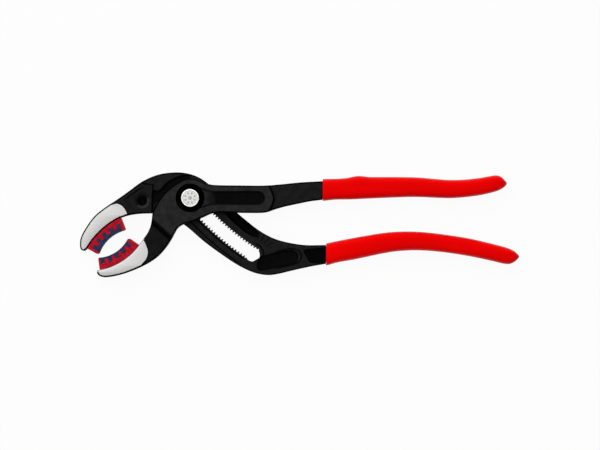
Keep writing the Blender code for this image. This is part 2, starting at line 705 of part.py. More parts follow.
def make_insert(name, bulge, seat, grip_arc, keys, pegs, parts, cutters):
    """A hard backing on its seat, and the soft lining keyed into its gripping face."""
    seat_radius = seat[1]
    seat_centre, seat_ends = bow(*seat, bulge)
    grip_radius = grip_arc[1]
    grip_centre, grip_ends = bow(*grip_arc, bulge)
    band, key_start_share, key_pitch_share = keys
    key_start = along(grip_ends[::-1], key_start_share)
    key_pitch = (grip_ends[0] - grip_ends[1]) * key_pitch_share
    sign = math.copysign(1, key_pitch)
    side = abs(key_pitch) * KEY_WIDTH_SHARE / 2
    swell = BOND_GAP / (grip_radius + band)
    key_end = key_start + key_pitch * (KEY_COUNT - 1)
    lining_ends = (key_start - sign * side, key_end + sign * side)
    bottom = INSERT_INSET
    top = HEAD_THICKNESS - INSERT_INSET

    back = arc(seat_centre, seat_radius - SEAT_GAP, *seat_ends)
    near_corner = polar(grip_centre, grip_radius, grip_ends[1])
    far_corner = polar(grip_centre, grip_radius, grip_ends[0])
    near_lip = polar(grip_centre, grip_radius, lining_ends[0] - sign * swell)
    far_lip = polar(grip_centre, grip_radius, lining_ends[1] + sign * swell)
    outline = back
    outline += rounded(near_corner, back[-1], near_lip, INSERT_CORNER)
    outline += [near_lip]
    outline += key_profile(grip_centre, grip_radius, band, key_start, key_pitch, BOND_GAP)
    outline += [far_lip]
    outline += rounded(far_corner, far_lip, back[0], INSERT_CORNER)
    backing = slab(name + "_insert_backing", outline, bottom, top, parts)
    for index, share in enumerate(pegs):
        join(backing, peg(f"{name}_peg_{index}", seat_centre, seat_radius - SEAT_GAP,
                          along(seat_ends, share), PEG_RADIUS, PEG_LENGTH, cutters))
    paint(backing, RED_PLASTIC)

    face = arc(grip_centre, grip_radius, lining_ends[1], lining_ends[0], 4 * KEY_COUNT)
    lining_outline = face + key_profile(grip_centre, grip_radius, band, key_start, key_pitch, 0)
    lining = slab(name + "_insert_lining", lining_outline, bottom, top, parts)
    paint(lining, BLUE_LINING)
    return backing, lining


def make_inserts(parts, cutters):
    """The upper and lower soft jaws."""
    upper = make_insert(
        "upper",
        1,
        (UPPER_SEAT_SHARES, UPPER_SEAT_RADIUS),
        (UPPER_GRIP_END_SHARES, UPPER_GRIP_RADIUS),
        (UPPER_LINING_BAND, UPPER_KEY_START_SHARE, UPPER_KEY_PITCH_SHARE),
        UPPER_PEG_SHARES, parts, cutters,
    )
    lower = make_insert(
        "lower",
        -1,
        (LOWER_SEAT_SHARES, LOWER_SEAT_RADIUS),
        (LOWER_GRIP_END_SHARES, LOWER_GRIP_RADIUS),
        (LOWER_LINING_BAND, LOWER_KEY_START_SHARE, LOWER_KEY_PITCH_SHARE),
        LOWER_PEG_SHARES, parts, cutters,
    )
    return upper, lower


def make_grips(parts, cutters):
    """The two dipped grips."""
    upper = grip("upper_handle_grip", UPPER_GRIP_SHARES, parts, cutters, True)
    lower = grip("lower_handle_grip", LOWER_GRIP_SHARES, parts, cutters, False)
    paint(upper, RED_VINYL)
    paint(lower, RED_VINYL)
    return upper, lower


def make_joint_bolt(parts, cutters):
    """The bolt: end boss, flange in the rear plate, guide in the slot's relief, and pin."""
    flange_bottom = PLATE_THICKNESS - FLANGE_THICKNESS
    profile = (
        (0, PIN_TOP), (PIN_RADIUS - SEAT_GAP, PIN_TOP), (PIN_RADIUS, PIN_TOP - SEAT_GAP),
        (PIN_RADIUS, SPRING_POCKET_FLOOR), (SPRING_POCKET_RADIUS, SPRING_POCKET_FLOOR),
        (SPRING_POCKET_RADIUS, PLATE_THICKNESS), (FLANGE_RADIUS, PLATE_THICKNESS),
        (FLANGE_RADIUS, flange_bottom), (BOLT_END_RADIUS, flange_bottom), (BOLT_END_RADIUS, 0),
        (0, 0),
    )
    bolt = turned("joint_bolt", profile, parts)
    half = GUIDE_LENGTH / NOTCH_PITCH / 2
    reach = RELIEF_HALF_WIDTH - RUNNING_GAP
    corners = ((-half, -reach), (half, -reach), (half, reach), (-half, reach))
    outline = [slot_place(notch, across) for notch, across in corners]
    guide = slab("bolt_guide", outline, PLATE_THICKNESS - OVERRUN / 4,
                 PLATE_THICKNESS + GUIDE_HEIGHT, cutters)
    clear = SPRING_POCKET_RADIUS + RELEASE_GAP
    cut(guide, cylinder("guide_bore", clear, 0, HEAD_THICKNESS, cutters))
    join(bolt, guide)
    paint(bolt, DARK_STEEL)
    return bolt


def make_catch(parts, cutters):
    """The toothed catch that locks the bolt to both rows of the slot."""
    ends = CATCH_LENGTH / NOTCH_PITCH / 2
    flank = SLOT_HALF_WIDTH - RUNNING_GAP
    slope = (NOTCH_OPENING_SHARE - NOTCH_ROOT_SHARE) * NOTCH_PITCH / NOTCH_DEPTH
    foot = NOTCH_OPENING_SHARE * NOTCH_PITCH - 2 * CATCH_TOOTH_GAP
    tip = foot - slope * CATCH_TOOTH_HEIGHT
    outline = []
    for side in (1, -1):
        row = [slot_place(-side * ends, side * flank)]
        for index in range(-CATCH_SIDE_TOOTH_COUNT, CATCH_SIDE_TOOTH_COUNT + 1):
            for width, height in ((-foot, 0), (-tip, CATCH_TOOTH_HEIGHT),
                                  (tip, CATCH_TOOTH_HEIGHT), (foot, 0)):
                notch = side * (index + width / NOTCH_PITCH / 2)
                across = flank if height == 0 else SLOT_HALF_WIDTH + height
                row.append(slot_place(notch, side * across))
        row.append(slot_place(side * ends, side * flank))
        outline += row
    catch = slab("catch_block", outline, CATCH_BOTTOM, BAND_TOP, parts)
    hole = PIN_RADIUS + RUNNING_GAP
    cut(catch, cylinder("catch_bore", hole, CATCH_BOTTOM - OVERRUN, BAND_TOP + OVERRUN, cutters))
    paint(catch, BRIGHT_STEEL)
    return catch


def make_button(parts):
    """The push button: dished head, stem through the slot and blind bore over the pin."""
    bore = PIN_RADIUS + RUNNING_GAP
    dish = BUTTON_TOP - BUTTON_DISH_DEPTH
    rim = BUTTON_RADIUS - BUTTON_RIM_WIDTH
    bore_end = BUTTON_TOP - BUTTON_CROWN
    profile = (
        (0, dish), (rim, dish), (rim + BUTTON_DISH_DEPTH, BUTTON_TOP),
        (BUTTON_RADIUS - SEAT_GAP, BUTTON_TOP), (BUTTON_RADIUS, BUTTON_TOP - SEAT_GAP),
        (BUTTON_RADIUS, BUTTON_HEAD_FLOOR), (STEM_RADIUS, BUTTON_HEAD_FLOOR),
        (STEM_RADIUS, WINDOW_TOP), (bore, WINDOW_TOP), (bore, bore_end), (0, bore_end),
    )
    button = turned("push_button", profile, parts)
    paint(button, BRIGHT_STEEL)
    return button


def make_collar(parts):
    """The guide collar around the button, sunk in the front plate."""
    top = HEAD_THICKNESS - COLLAR_RECESS
    bottom = top - COLLAR_HEIGHT
    bore = BUTTON_RADIUS + RUNNING_GAP
    profile = (
        (bore, bottom), (bore, top - SEAT_GAP), (bore + SEAT_GAP, top),
        (COLLAR_RADIUS - SEAT_GAP, top), (COLLAR_RADIUS, top - SEAT_GAP),
        (COLLAR_RADIUS, bottom),
    )
    collar = turned("button_collar", profile, parts, closed=True)
    paint(collar, DARK_STEEL)
    return collar


def make_retaining_ring(parts, cutters):
    """The open ring that holds the bolt's flange in the rear plate."""
    outer = FLANGE_RADIUS + RUNNING_GAP + RING_BITE
    top = RING_HEIGHT + RING_THICKNESS
    ring = cylinder("retaining_ring", outer, RING_HEIGHT, top, parts)
    hole = cylinder("ring_hole", outer - RING_WIDTH, RING_HEIGHT - OVERRUN, top + OVERRUN, cutters)
    half = RING_OPENING / 2
    reach = outer + OVERRUN
    opening = [Vector((0, -half)), Vector((reach, -half)), Vector((reach, half)),
               Vector((0, half))]
    gap = slab("ring_opening", opening, RING_HEIGHT - OVERRUN, top + OVERRUN, cutters)
    cut(ring, hole, gap)
    paint(ring, SPRING_STEEL)
    return ring


def make_spring(parts):
    """The coil spring that pushes the catch and button forward."""
    radius = (SPRING_DIAMETER - SPRING_WIRE) / 2
    bottom = SPRING_POCKET_FLOOR + SEAT_GAP + SPRING_WIRE / 2
    top = CATCH_BOTTOM - SEAT_GAP - SPRING_WIRE / 2
    points_per_turn = 10
    count = round(SPRING_TURNS * points_per_turn)
    curve = bpy.data.curves.new("catch_spring", "CURVE")
    curve.dimensions = "3D"
    curve.bevel_depth = SPRING_WIRE / 2
    curve.bevel_resolution = 1
    curve.use_fill_caps = True
    spline = curve.splines.new("POLY")
    spline.points.add(count)
    for index, point in enumerate(spline.points):
        turn = math.tau * index / points_per_turn
        height = bottom + (top - bottom) * index / count
        point.co = (radius * math.cos(turn), radius * math.sin(turn), height, 1)
    item = bpy.data.objects.new("catch_spring_path", curve)
    parts.objects.link(item)
    spring = as_mesh(item, "catch_spring", parts)
    paint(spring, SPRING_STEEL)
    gap = (top - bottom) / SPRING_TURNS - SPRING_WIRE
    print(f"least gap between the spring's turns: {gap:.5f} m")
    return spring


def hang(children, name, location, collection, parent=None):
    """Parent pieces to an empty on their joint's axis, leaving them where they are."""
    empty = bpy.data.objects.new(name, None)
    empty.empty_display_size = BUTTON_RADIUS
    empty.location = (location[0], location[1], 0)
    collection.objects.link(empty)
    bpy.context.view_layer.update()
    if parent is not None:
        empty.parent = parent
        empty.matrix_parent_inverse = parent.matrix_world.inverted()
        bpy.context.view_layer.update()
    for child in children:
        child.parent = empty
        child.matrix_parent_inverse = empty.matrix_world.inverted()
    return empty


def finish_shading(collection):
    """Shade round faces smooth and keep the machined edges sharp."""
    for item in collection.objects:
        if item.type == "MESH":
            item.data.shade_smooth()
            item.data.set_sharp_from_angle(angle=math.radians(35.0))


def main():
    """Build the pliers."""
    clear_scene()
    parts = new_collection("water_pump_pliers")
    cutters = new_collection("cutters")
    outer_lever = make_outer_lever(parts, cutters)
    make_inner_lever(parts, cutters)
    upper_grip, _ = make_grips(parts, cutters)
    _, lower_insert = make_inserts(parts, cutters)
    bolt = make_joint_bolt(parts, cutters)
    catch = make_catch(parts, cutters)
    button = make_button(parts)
    collar = make_collar(parts)
    ring = make_retaining_ring(parts, cutters)
    spring = make_spring(parts)
    finish_shading(parts)

    size_axis = hang((bolt, spring), "size_adjust_axis", SLOT_CENTRE, parts)
    hang((outer_lever, upper_grip, collar, ring, *lower_insert), "handle_axis", PIVOT, parts,
         size_axis)
    hang((button, catch), "button_axis", PIVOT, parts, size_axis)


main()
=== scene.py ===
"""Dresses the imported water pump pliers: levers, grips, inserts, joint and stage.

The tool lies flat with its jaws to the left and its handles to the right. X runs towards the
handles, Y runs across them and Z through the thickness. All lengths are in metres.
"""

import json
import math

import bmesh
import bpy
from bpy.props import FloatProperty, FloatVectorProperty, IntProperty, PointerProperty
from mathutils import Matrix, Vector
from mathutils.geometry import interpolate_bezier


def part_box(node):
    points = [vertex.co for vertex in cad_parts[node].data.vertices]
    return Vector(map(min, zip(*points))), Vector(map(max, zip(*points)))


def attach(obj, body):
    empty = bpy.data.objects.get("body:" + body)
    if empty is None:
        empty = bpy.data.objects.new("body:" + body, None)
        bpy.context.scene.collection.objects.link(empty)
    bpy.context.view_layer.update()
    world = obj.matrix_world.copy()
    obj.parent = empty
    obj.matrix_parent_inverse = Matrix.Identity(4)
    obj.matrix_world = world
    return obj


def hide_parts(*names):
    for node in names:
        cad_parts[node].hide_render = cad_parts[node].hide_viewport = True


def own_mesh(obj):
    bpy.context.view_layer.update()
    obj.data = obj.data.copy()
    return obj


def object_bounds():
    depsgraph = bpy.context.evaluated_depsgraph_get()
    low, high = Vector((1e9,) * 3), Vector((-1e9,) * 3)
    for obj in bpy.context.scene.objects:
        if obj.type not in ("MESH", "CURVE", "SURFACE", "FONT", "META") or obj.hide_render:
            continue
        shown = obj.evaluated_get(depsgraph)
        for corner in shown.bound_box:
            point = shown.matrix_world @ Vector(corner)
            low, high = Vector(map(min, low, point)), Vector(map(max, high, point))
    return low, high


bl_info = {
    "name": "Water Pump Pliers",
    "version": (1, 0, 0),
    "blender": (4, 5, 0),
    "location": "3D View > Sidebar > Pliers",
    "description": "Builds the levers, grips, inserts and push-button joint of water pump pliers",
    "category": "Add Mesh",
}

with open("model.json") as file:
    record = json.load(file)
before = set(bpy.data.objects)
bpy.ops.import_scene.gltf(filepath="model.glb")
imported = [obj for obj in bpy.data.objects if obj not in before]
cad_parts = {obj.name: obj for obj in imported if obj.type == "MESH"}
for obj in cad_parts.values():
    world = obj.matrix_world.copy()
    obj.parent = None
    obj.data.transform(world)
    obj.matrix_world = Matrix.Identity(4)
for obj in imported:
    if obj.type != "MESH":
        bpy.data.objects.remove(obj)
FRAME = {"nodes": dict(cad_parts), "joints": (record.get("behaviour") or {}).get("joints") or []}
CAD_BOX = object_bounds()
LEVER_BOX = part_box("outer_lever")
INNER_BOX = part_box("inner_lever")
GRIP_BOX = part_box("lower_handle_grip")
INSERT_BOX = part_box("upper_insert_backing")
BUTTON_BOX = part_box("push_button")
COLLAR_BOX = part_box("button_collar")
BOLT_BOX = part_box("joint_bolt")
RING_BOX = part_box("retaining_ring")
SPRING_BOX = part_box("catch_spring")
SIZE_AXIS = next(joint for joint in FRAME["joints"] if joint["name"] == "size_adjust")["pos_m"]

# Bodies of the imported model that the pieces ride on.
LOWER = "lower_handle"
UPPER = "upper_handle"
CARRIAGE = "joint_carriage"
BUTTON = "button"

# Places on the outlines. X is a share of the jaw reach left of the joint's axis and of the handle
# reach right of it, and Y is a share of the head's height.
OUTER_TOP_SHARES = (
    (-0.387, -0.337), (-0.360, -0.271), (-0.348, -0.204), (-0.342, -0.151), (-0.320, -0.094),
    (-0.283, -0.025), (-0.229, 0.045), (-0.165, 0.104), (-0.092, 0.157), (-0.037, 0.179),
    (0.004, 0.185), (0.021, 0.177), (0.039, 0.152), (0.057, 0.131), (0.082, 0.122),
    (0.152, 0.119), (0.224, 0.118), (0.273, 0.130), (0.334, 0.149), (0.4024, 0.161),
)
OUTER_BOTTOM_SHARES = (
    (0.4024, -0.018), (0.364, -0.033), (0.328, -0.056), (0.288, -0.083), (0.258, -0.110),
    (0.237, -0.133), (0.218, -0.143), (0.152, -0.143), (0.106, -0.139), (0.079, -0.141),
    (0.060, -0.155), (0.039, -0.185), (0.009, -0.221), (-0.065, -0.254), (-0.114, -0.288),
    (-0.138, -0.328), (-0.183, -0.414), (-0.233, -0.489), (-0.301, -0.565), (-0.393, -0.630),
    (-0.502, -0.685), (-0.629, -0.733), (-0.757, -0.758), (-0.816, -0.749), (-0.844, -0.722),
    (-0.848, -0.694),
)
OUTER_NECK_SHARES = (
    (-0.452, -0.385), (-0.423, -0.404), (-0.393, -0.471), (-0.383, -0.524), (-0.400, -0.582),
    (-0.437, -0.629), (-0.475, -0.671), (-0.515, -0.735),
)
OUTER_NECK_ROOT_SHARES = (
    (-0.560, -0.850), (-0.020, -0.850), (-0.060, -0.385), (-0.197, -0.390), (-0.329, -0.271),
    (-0.480, -0.180),
)
NECK_TOP_EDGE = ((-0.700, -0.042), (-0.346, 0.202))
NECK_LOW_EDGE = ((-0.350, -0.149), (-0.600, -0.180))
HEAD_TOP_EDGE = ((-0.342, 0.203), (0.020, 0.206))
OUTER_NECK_FRONT_EDGE = ((-0.460, -0.392), (-0.350, -0.240))
OUTER_NECK_REAR_EDGE = ((-0.150, -0.350), (-0.480, -0.676))
BOSS_END_SHARES = (
    (0.216, 0.240), (0.224, 0.169), (0.238, 0.102), (0.247, 0.045), (0.251, -0.008),
    (0.247, -0.060), (0.238, -0.113), (0.224, -0.185), (0.216, -0.260),
)
OUTER_POCKET_SHARES = (
    (0.015, 0.100), (0.027, 0.112), (0.039, 0.084), (0.054, 0.066), (0.076, 0.059),
    (0.206, 0.058), (0.220, 0.039), (0.225, 0.000), (0.220, -0.039), (0.206, -0.058),
    (0.076, -0.057), (0.057, -0.065), (0.039, -0.084), (0.027, -0.108), (0.015, -0.100),
)
WINDOW_ARM_SHARES = (
    (0.062, 0.250), (0.070, 0.160), (0.076, 0.105), (0.092, 0.055), (0.126, -0.012),
    (0.157, -0.062), (0.188, -0.099), (0.223, -0.130), (0.242, -0.190),
)
WINDOW_WEB_SHARES = (
    (-0.040, -0.420), (-0.136, -0.302), (-0.163, -0.232), (-0.186, -0.190), (-0.226, -0.170),
    (-0.280, -0.162), (-0.420, -0.160),
)
INNER_TOP_SHARES = (
    (-0.964, -0.507), (-0.990, -0.494), (-1.000, -0.457), (-0.994, -0.385), (-0.950, -0.292),
    (-0.871, -0.177), (-0.775, -0.094), (-0.666, -0.017), (-0.547, 0.072), (-0.452, 0.146),
    (-0.365, 0.194), (-0.274, 0.227), (-0.165, 0.243), (-0.074, 0.242), (0.006, 0.223),
    (0.030, 0.190), (0.054, 0.137), (0.082, 0.059), (0.115, -0.051), (0.144, -0.146),
    (0.170, -0.215), (0.197, -0.283), (0.228, -0.347), (0.261, -0.395), (0.303, -0.430),
    (0.352, -0.451), (0.4124, -0.450),
)
INNER_BOTTOM_SHARES = (
    (0.4124, -0.631), (0.364, -0.658), (0.303, -0.701), (0.267, -0.728), (0.237, -0.739),
    (0.203, -0.724), (0.173, -0.689), (0.139, -0.633), (0.091, -0.532), (0.042, -0.418),
    (-0.001, -0.302), (-0.065, -0.250), (-0.138, -0.200), (-0.219, -0.165), (-0.301, -0.151),
    (-0.402, -0.149), (-0.493, -0.155), (-0.566, -0.168), (-0.629, -0.188),
)
INNER_NECK_SHARES = (
    (-0.555, -0.230), (-0.577, -0.140), (-0.608, -0.087), (-0.641, -0.062), (-0.675, -0.056),
    (-0.710, -0.068), (-0.745, -0.072),
)
INNER_NECK_ROOT_SHARES = ((-0.830, -0.020), (-0.830, 0.330), (-0.338, 0.330), (-0.338, -0.230))
PANEL_LINE_SHARES = (
    (-0.610, -0.025), (-0.570, 0.003), (-0.511, 0.048), (-0.456, 0.086), (-0.424, 0.104),
)
INNER_HEAD_SHARES = (
    (-0.344, -0.240), (-0.344, 0.123), (-0.420, 0.127), (-0.500, 0.240), (-0.365, 0.330),
    (0.042, 0.330), (0.042, -0.240),
)
INNER_BAND_SHARES = (
    (-0.356, -0.240), (-0.353, -0.130), (-0.350, -0.030), (-0.347, 0.060), (-0.329, 0.078),
    (-0.296, 0.070), (-0.262, 0.093), (-0.228, 0.135), (-0.186, 0.170), (-0.119, 0.205),
    (-0.056, 0.224), (0.003, 0.237), (0.020, 0.330),
)
# The strip sunk beside the box, whose darker tone is the painted shadow of the box on the band.
BOX_SHADOW_RELIEF_SHARES = (
    (-0.336, 0.040), (-0.326, 0.066), (-0.296, 0.058), (-0.262, 0.081), (-0.228, 0.123),
    (-0.186, 0.158), (-0.119, 0.193), (-0.056, 0.212), (0.000, 0.224),
)
BOX_SHADOW_RELIEF_ROOT_SHARES = ((0.000, 0.140), (-0.150, 0.080), (-0.250, 0.000), (-0.330, -0.060))
INNER_POCKET_SHARES = (
    (0.218, -0.554), (0.261, -0.527), (0.303, -0.503), (0.320, -0.519), (0.326, -0.562),
    (0.320, -0.610), (0.307, -0.627), (0.264, -0.658), (0.224, -0.685), (0.206, -0.677),
    (0.208, -0.596),
)
INNER_VALLEY_SHARES = (
    (0.098, -0.060), (0.118, -0.135), (0.141, -0.205), (0.164, -0.268), (0.188, -0.326),
    (0.216, -0.375),
)
POCKET_RIM_SHARES = (
    (0.246, -0.520), (0.272, -0.504), (0.303, -0.486), (0.325, -0.498), (0.337, -0.535),
    (0.335, -0.590), (0.318, -0.632), (0.272, -0.667), (0.246, -0.687),
)
ARM_RECESS_SHARES = (
    (0.343, -0.512), (0.351, -0.490), (0.366, -0.486), (0.430, -0.486), (0.430, -0.612),
    (0.366, -0.622), (0.360, -0.606),
)
DIMPLE_SHARE = (-0.437, -0.027)

# Stations along the grips: X, top edge, bottom edge and share of the grip's thickness. Then the
# station at which the tangs end, and where the thumb bump lies and how far it reaches.
UPPER_GRIP_SHARES = (
    (0.403, 0.176, -0.026, 0.88), (0.407, 0.182, -0.027, 0.94), (0.443, 0.184, -0.016, 1.0),
    (0.488, 0.193, -0.014, 1.0), (0.528, 0.200, -0.008, 1.0), (0.577, 0.201, -0.001, 1.0),
    (0.662, 0.200, 0.009, 1.0), (0.704, 0.194, 0.008, 1.0), (0.747, 0.182, 0.002, 1.0),
    (0.789, 0.173, -0.002, 1.0), (0.832, 0.176, 0.006, 1.0), (0.875, 0.190, 0.023, 1.0),
    (0.905, 0.206, 0.042, 0.98), (0.930, 0.217, 0.063, 0.94), (0.945, 0.203, 0.083, 0.84),
    (0.956, 0.172, 0.107, 0.64), (0.962, 0.150, 0.127, 0.38),
)
LOWER_GRIP_SHARES = (
    (0.413, -0.440, -0.641, 0.88), (0.417, -0.433, -0.644, 0.94), (0.449, -0.411, -0.617, 1.0),
    (0.492, -0.385, -0.593, 1.0), (0.534, -0.361, -0.566, 1.0), (0.577, -0.339, -0.537, 1.0),
    (0.622, -0.324, -0.513, 1.0), (0.671, -0.321, -0.502, 1.0), (0.714, -0.328, -0.504, 1.0),
    (0.759, -0.344, -0.516, 1.0), (0.811, -0.367, -0.538, 1.0), (0.862, -0.396, -0.566, 1.0),
    (0.917, -0.437, -0.603, 1.0), (0.950, -0.464, -0.628, 0.98), (0.970, -0.484, -0.633, 0.94),
    (0.985, -0.508, -0.614, 0.84), (0.995, -0.535, -0.588, 0.62), (1.000, -0.554, -0.567, 0.38),
)
TANG_STATIONS = 13
BUMP_SHARE = 0.509
BUMP_REACH = 0.0078

# Ends of the inserts' seats and gripping faces. Pegs and keys are in shares of the way along them:
# each peg's place, then the first key's place and the keys' pitch.
UPPER_SEAT_SHARES = ((-0.9357, -0.4829), (-0.6329, -0.1873))
UPPER_GRIP_END_SHARES = ((-0.8345, -0.5417), (-0.5876, -0.3090))
UPPER_PEG_SHARES = (0.351, 0.789)
UPPER_KEY_SHARES = (0.1395, 0.1827)
LOWER_SEAT_SHARES = ((-0.8210, -0.6878), (-0.4658, -0.4524))
LOWER_GRIP_END_SHARES = ((-0.8368, -0.5716), (-0.5623, -0.3823))
LOWER_PEG_SHARES = (0.260, 0.705)
LOWER_KEY_SHARES = (0.1479, 0.1865)
KEY_COUNT = 5
KEY_FOOT_SHARE = 0.56
KEY_TIP_SHARE = 0.42

# Radii of the inserts' seats and gripping faces, the pegs on the seats, and the inserts' edges.
UPPER_SEAT = 0.0440
UPPER_FACE = 0.0207
LOWER_SEAT = 0.0361
LOWER_FACE = 0.0199
PEG_RADIUS = 0.0016
PEG_LENGTH = 0.0034
KEY_ROUND = 0.0004
KEY_ROUND_STEPS = 3
LIP_ROUND = 0.0011
BACKING_EDGE = 0.0003
LINING_EDGE = 0.0002
SCALLOP_RADIUS = 0.00042
SCALLOP_DEPTH = 0.00046
SCALLOP_INSET = 0.0003

# Notches of the slot: their opening and root as shares of the pitch, the last setting, how many
# notches lie past each end, and how many pitches past the last setting the round end's centre
# lies. The mouth's corners are in pitches past the last setting and in half widths across.
NOTCH_OPENING_SHARE = 0.72
NOTCH_ROOT_SHARE = 0.44
NOTCH_STEPS = 24
SPARE_NOTCH_STEPS = 2
SLOT_END_SHARE = 1.3
SLOT_MOUTH_SHARES = (
    (0.36, -0.90), (1.64, -1.14), (2.22, -1.06), (2.91, -0.79), (3.44, -0.33), (3.52, 0.02),
    (3.04, 0.51), (2.60, 1.02), (2.14, 1.32), (1.43, 1.43), (0.72, 1.29), (0.36, 1.10),
)

# How finely curves are drawn, and small allowances for clean cuts.
CURVE_STEPS = 6
RECESS_STEPS = 3
ARC_STEPS = 48
COIL_POINTS = 40
WIRE_SIDES = 12
ROUND_SEGMENTS = 96
EDGE_STEPS = 5
GRIP_SIDES = 56
GRIP_STEPS = 8
TANG_STEPS = 4
GRIP_SQUARENESS = 0.62
HANDLE_SHARE = 0.34
OVERRUN = 0.002
HAIR = 0.00002
MERGE = 0.000002
FLAT_LIMIT = 0.9995
BAR_SIDES = 24
ROLL_STEPS = 10
FIT = 0.00006

# Angles past which an edge stays sharp, in degrees.
FORGED_SHARP = 32.0
BUTTON_SHARP = 25.0
TURNED_SHARP = 30.0
SOFT_SHARP = 50.0

# Tones of the black steel, which paint shade by height, lower faces darker: how far the scale of
# heights reaches past the front face, how much its borders wander, and the shares of a step at
# which its fillet and the wall below it take a tone. Then the direction of the polish, how squarely
# steel and vinyl face the front or back where the painted shade on their slopes and sides sets in,
# and the part of a noise that makes soft patches and how far they change a tone.
LEVEL_SPAN = 1.02
LEVEL_WANDER = 0.00006
FILLET_TONE_SHARE = 0.4
FLOOR_SHADE_SHARE = 1.3
POLISH_ANGLE = 35
FORGED_SHADE_FLATNESS = (0.955, 0.995)
VINYL_SHADE_FLATNESS = (0.05, 0.60)
CLOUD_RANGE = (0.3, 0.7)
CLOUD_TONES = (0.68, 1.32)

# Brightness of the room by height, from the horizon to straight above.
ROOM_TONES = ((0.0, 1.0), (0.06, 1.0), (0.20, 0.16), (1.0, 0.32))

# Fillets and roundings of the levers, and the shares of a step that its floor's fillet takes.
BOSS_FILLET = 0.0014
ARM_EDGE = 0.0011
BAND_FILLET = 0.0010
BAND_EDGE = 0.0008
BAND_AWAY = (0.8, -0.6)
HEAD_FILLET = 0.0010
SHADOW_RELIEF_FILLET = 0.0003
OUTER_NECK_FILLET_SHARE = 0.5
INNER_NECK_FILLET_SHARE = 0.55
POCKET_FILLET_SHARE = 0.4
RECESS_FILLET_SHARE = 0.3

# Small forms of the levers: valley and pocket ramp of the outer one, lines pressed into both with
# the shares of their length that fade out, rounded edges, flow lines and the drilled dimple.
POCKET_RAMP_SHARES = ((0.052, 0.0), (0.080, 0.0))
VALLEY_WIDTH = 0.0046
VALLEY_DEPTH = 0.0011
VALLEY_NEAR = 0.0006
VALLEY_RISE = 0.0003
VALLEY_OVERREACH = 0.008
ROLL_LIFT = 0.00006
END_LIFT = 0.3
LINE_RADIUS = 0.00045
LINE_DEPTH = 0.00034
PANEL_LINE_DEPTH = 0.00032
FINE_LINE_DEPTH = 0.0003
BAND_VALLEY_RADIUS = 0.0029
BAND_VALLEY_DEPTH = 0.0016
BAND_LINES = (("slot_line", 0.0051), ("edge_line", 0.0086))
SLOT_END_LINE_RADIUS = 0.0061
SLOT_END_LINE_ANGLES = (-25, 80)
SLOT_END_LINE_STEPS = 24
OUTER_LINE_FADE = 0.12
INNER_LINE_FADE = 0.05
VALLEY_FADE = 0.35
PANEL_LINE_FADE = 0.3
BAND_LINE_FADE = 0.12
SLOT_END_LINE_FADE = 0.25
POCKET_RIM_FADE = 0.2
COVE_RADIUS = 0.0012
COVE_DEPTH = 0.0007
COVE_SHIFT = 0.00018
COVE_FADE = 0.15
FLOW_COUNT = 4
FLOW_ANGLES = (30, 14)
FLOW_START = 0.0088
FLOW_STEP = 0.0002
FLOW_STEPS = 24
FLOW_LIFT = 0.00030
DIMPLE_RADIUS = 0.0030
DIMPLE_RIM = 0.0043
DIMPLE_LEAD = 0.0005
DIMPLE_FLOOR = 0.0012
DIMPLE_DEPTH = 0.0016
DIMPLE_MOUTH = 0.0032
DIMPLE_OVERRUN = 0.0002
# The side of the dimple's rim that takes a painted highlight, as the lit slope of a bowl: its
# direction from the dimple's centre, the least share of a face's distance that lies that way, and
# how squarely the rim's faces must face the front.
DIMPLE_LIT_SIDE = (0.6, -0.8)
DIMPLE_LIT_SHARE = 0.2
DIMPLE_LIT_TILT = 0.5

# The button's face and stem: radii, heights below its top, and the ring of plain marks.
BUTTON_DISH = 0.00030
BUTTON_CENTRE = (0.0011, 0.00114)
BUTTON_CENTRE_LIFT = 0.00004
BUTTON_GROOVE = (0.0040, 0.00405, 0.0042, 0.00425)
BUTTON_GROOVE_DEPTH = 0.00012
BUTTON_RIM = (0.0043, 0.0049, 0.0050)
BUTTON_RIM_DROPS = (0.00003, 0.00006, 0.00030)
BUTTON_RIM_START = 0.00423
BUTTON_STEM = 0.00285
BUTTON_BORE_DEPTH = 0.0012
BUTTON_CLEARANCE = 0.0002
MARK_COUNT = 8
MARK_SPAN = (0.0021, 0.0034)
MARK_HALF_WIDTHS = (0.00045, 0.00060)
MARK_ROOT = 0.0002
MARK_LIFT = 0.00005

# The collar's raised ring: radii with heights below its top, between two grooves.
COLLAR_GROOVE = 0.0006
COLLAR_STEP = 0.0005
COLLAR_RING = (
    (0.00585, COLLAR_GROOVE), (0.00610, 0.00005), (0.00625, 0), (0.00680, 0), (0.00695, 0.00005),
    (0.00715, COLLAR_STEP),
)
COLLAR_BEVEL = 0.0001

# The bolt, its guide and the ring that holds it. Radii, then heights.
BOLT_FLANGE = 0.0063
BOLT_FLANGE_THICKNESS = 0.0024
BOLT_END = 0.0048
BOLT_PIN = 0.0016
BOLT_POCKET = 0.0031
BOLT_FLOOR = 0.0018
BOLT_BEVEL = 0.0003
BOLT_END_GROOVE = ((0.0030, 0), (0.0028, 0.0002), (0.0012, 0.0002), (0.0010, 0))
GUIDE_LENGTH = 0.0072
GUIDE_HEIGHT = 0.0011
GUIDE_CLEARANCE = 0.0002
BORE_LEAD = 0.0003
RING_GROOVE_RADIUS = 0.0070
RING_WIDTH = 0.00185
RING_HALF_GAP = 0.0015
COIL_DIAMETER = 0.0047

# The stage: each lamp's name, place, side and power, the floor, and the camera's frame.
LAMPS = (
    ("key_lamp", (-0.50, 0.95, 1.35), 2.7, 36.0),
    ("overhead_lamp", (0.06, -0.015, 2.4), 1.1, 1.0),
)
FLOOR_REACH = 30.0
FLOOR_GLOW = 0.94
CAMERA_LENS = 200.0
CAMERA_RANGE = 100.0
CAMERA_CENTRE = (0.06258, -0.01542)
CAMERA_LEVEL_SHARE = 0.75
FRAME_WIDTH = 0.342


def length(name, description, default, least):
    """A length that the panel can show."""
    return FloatProperty(name=name, description=description, default=default, min=least,
                         unit="LENGTH", precision=5)


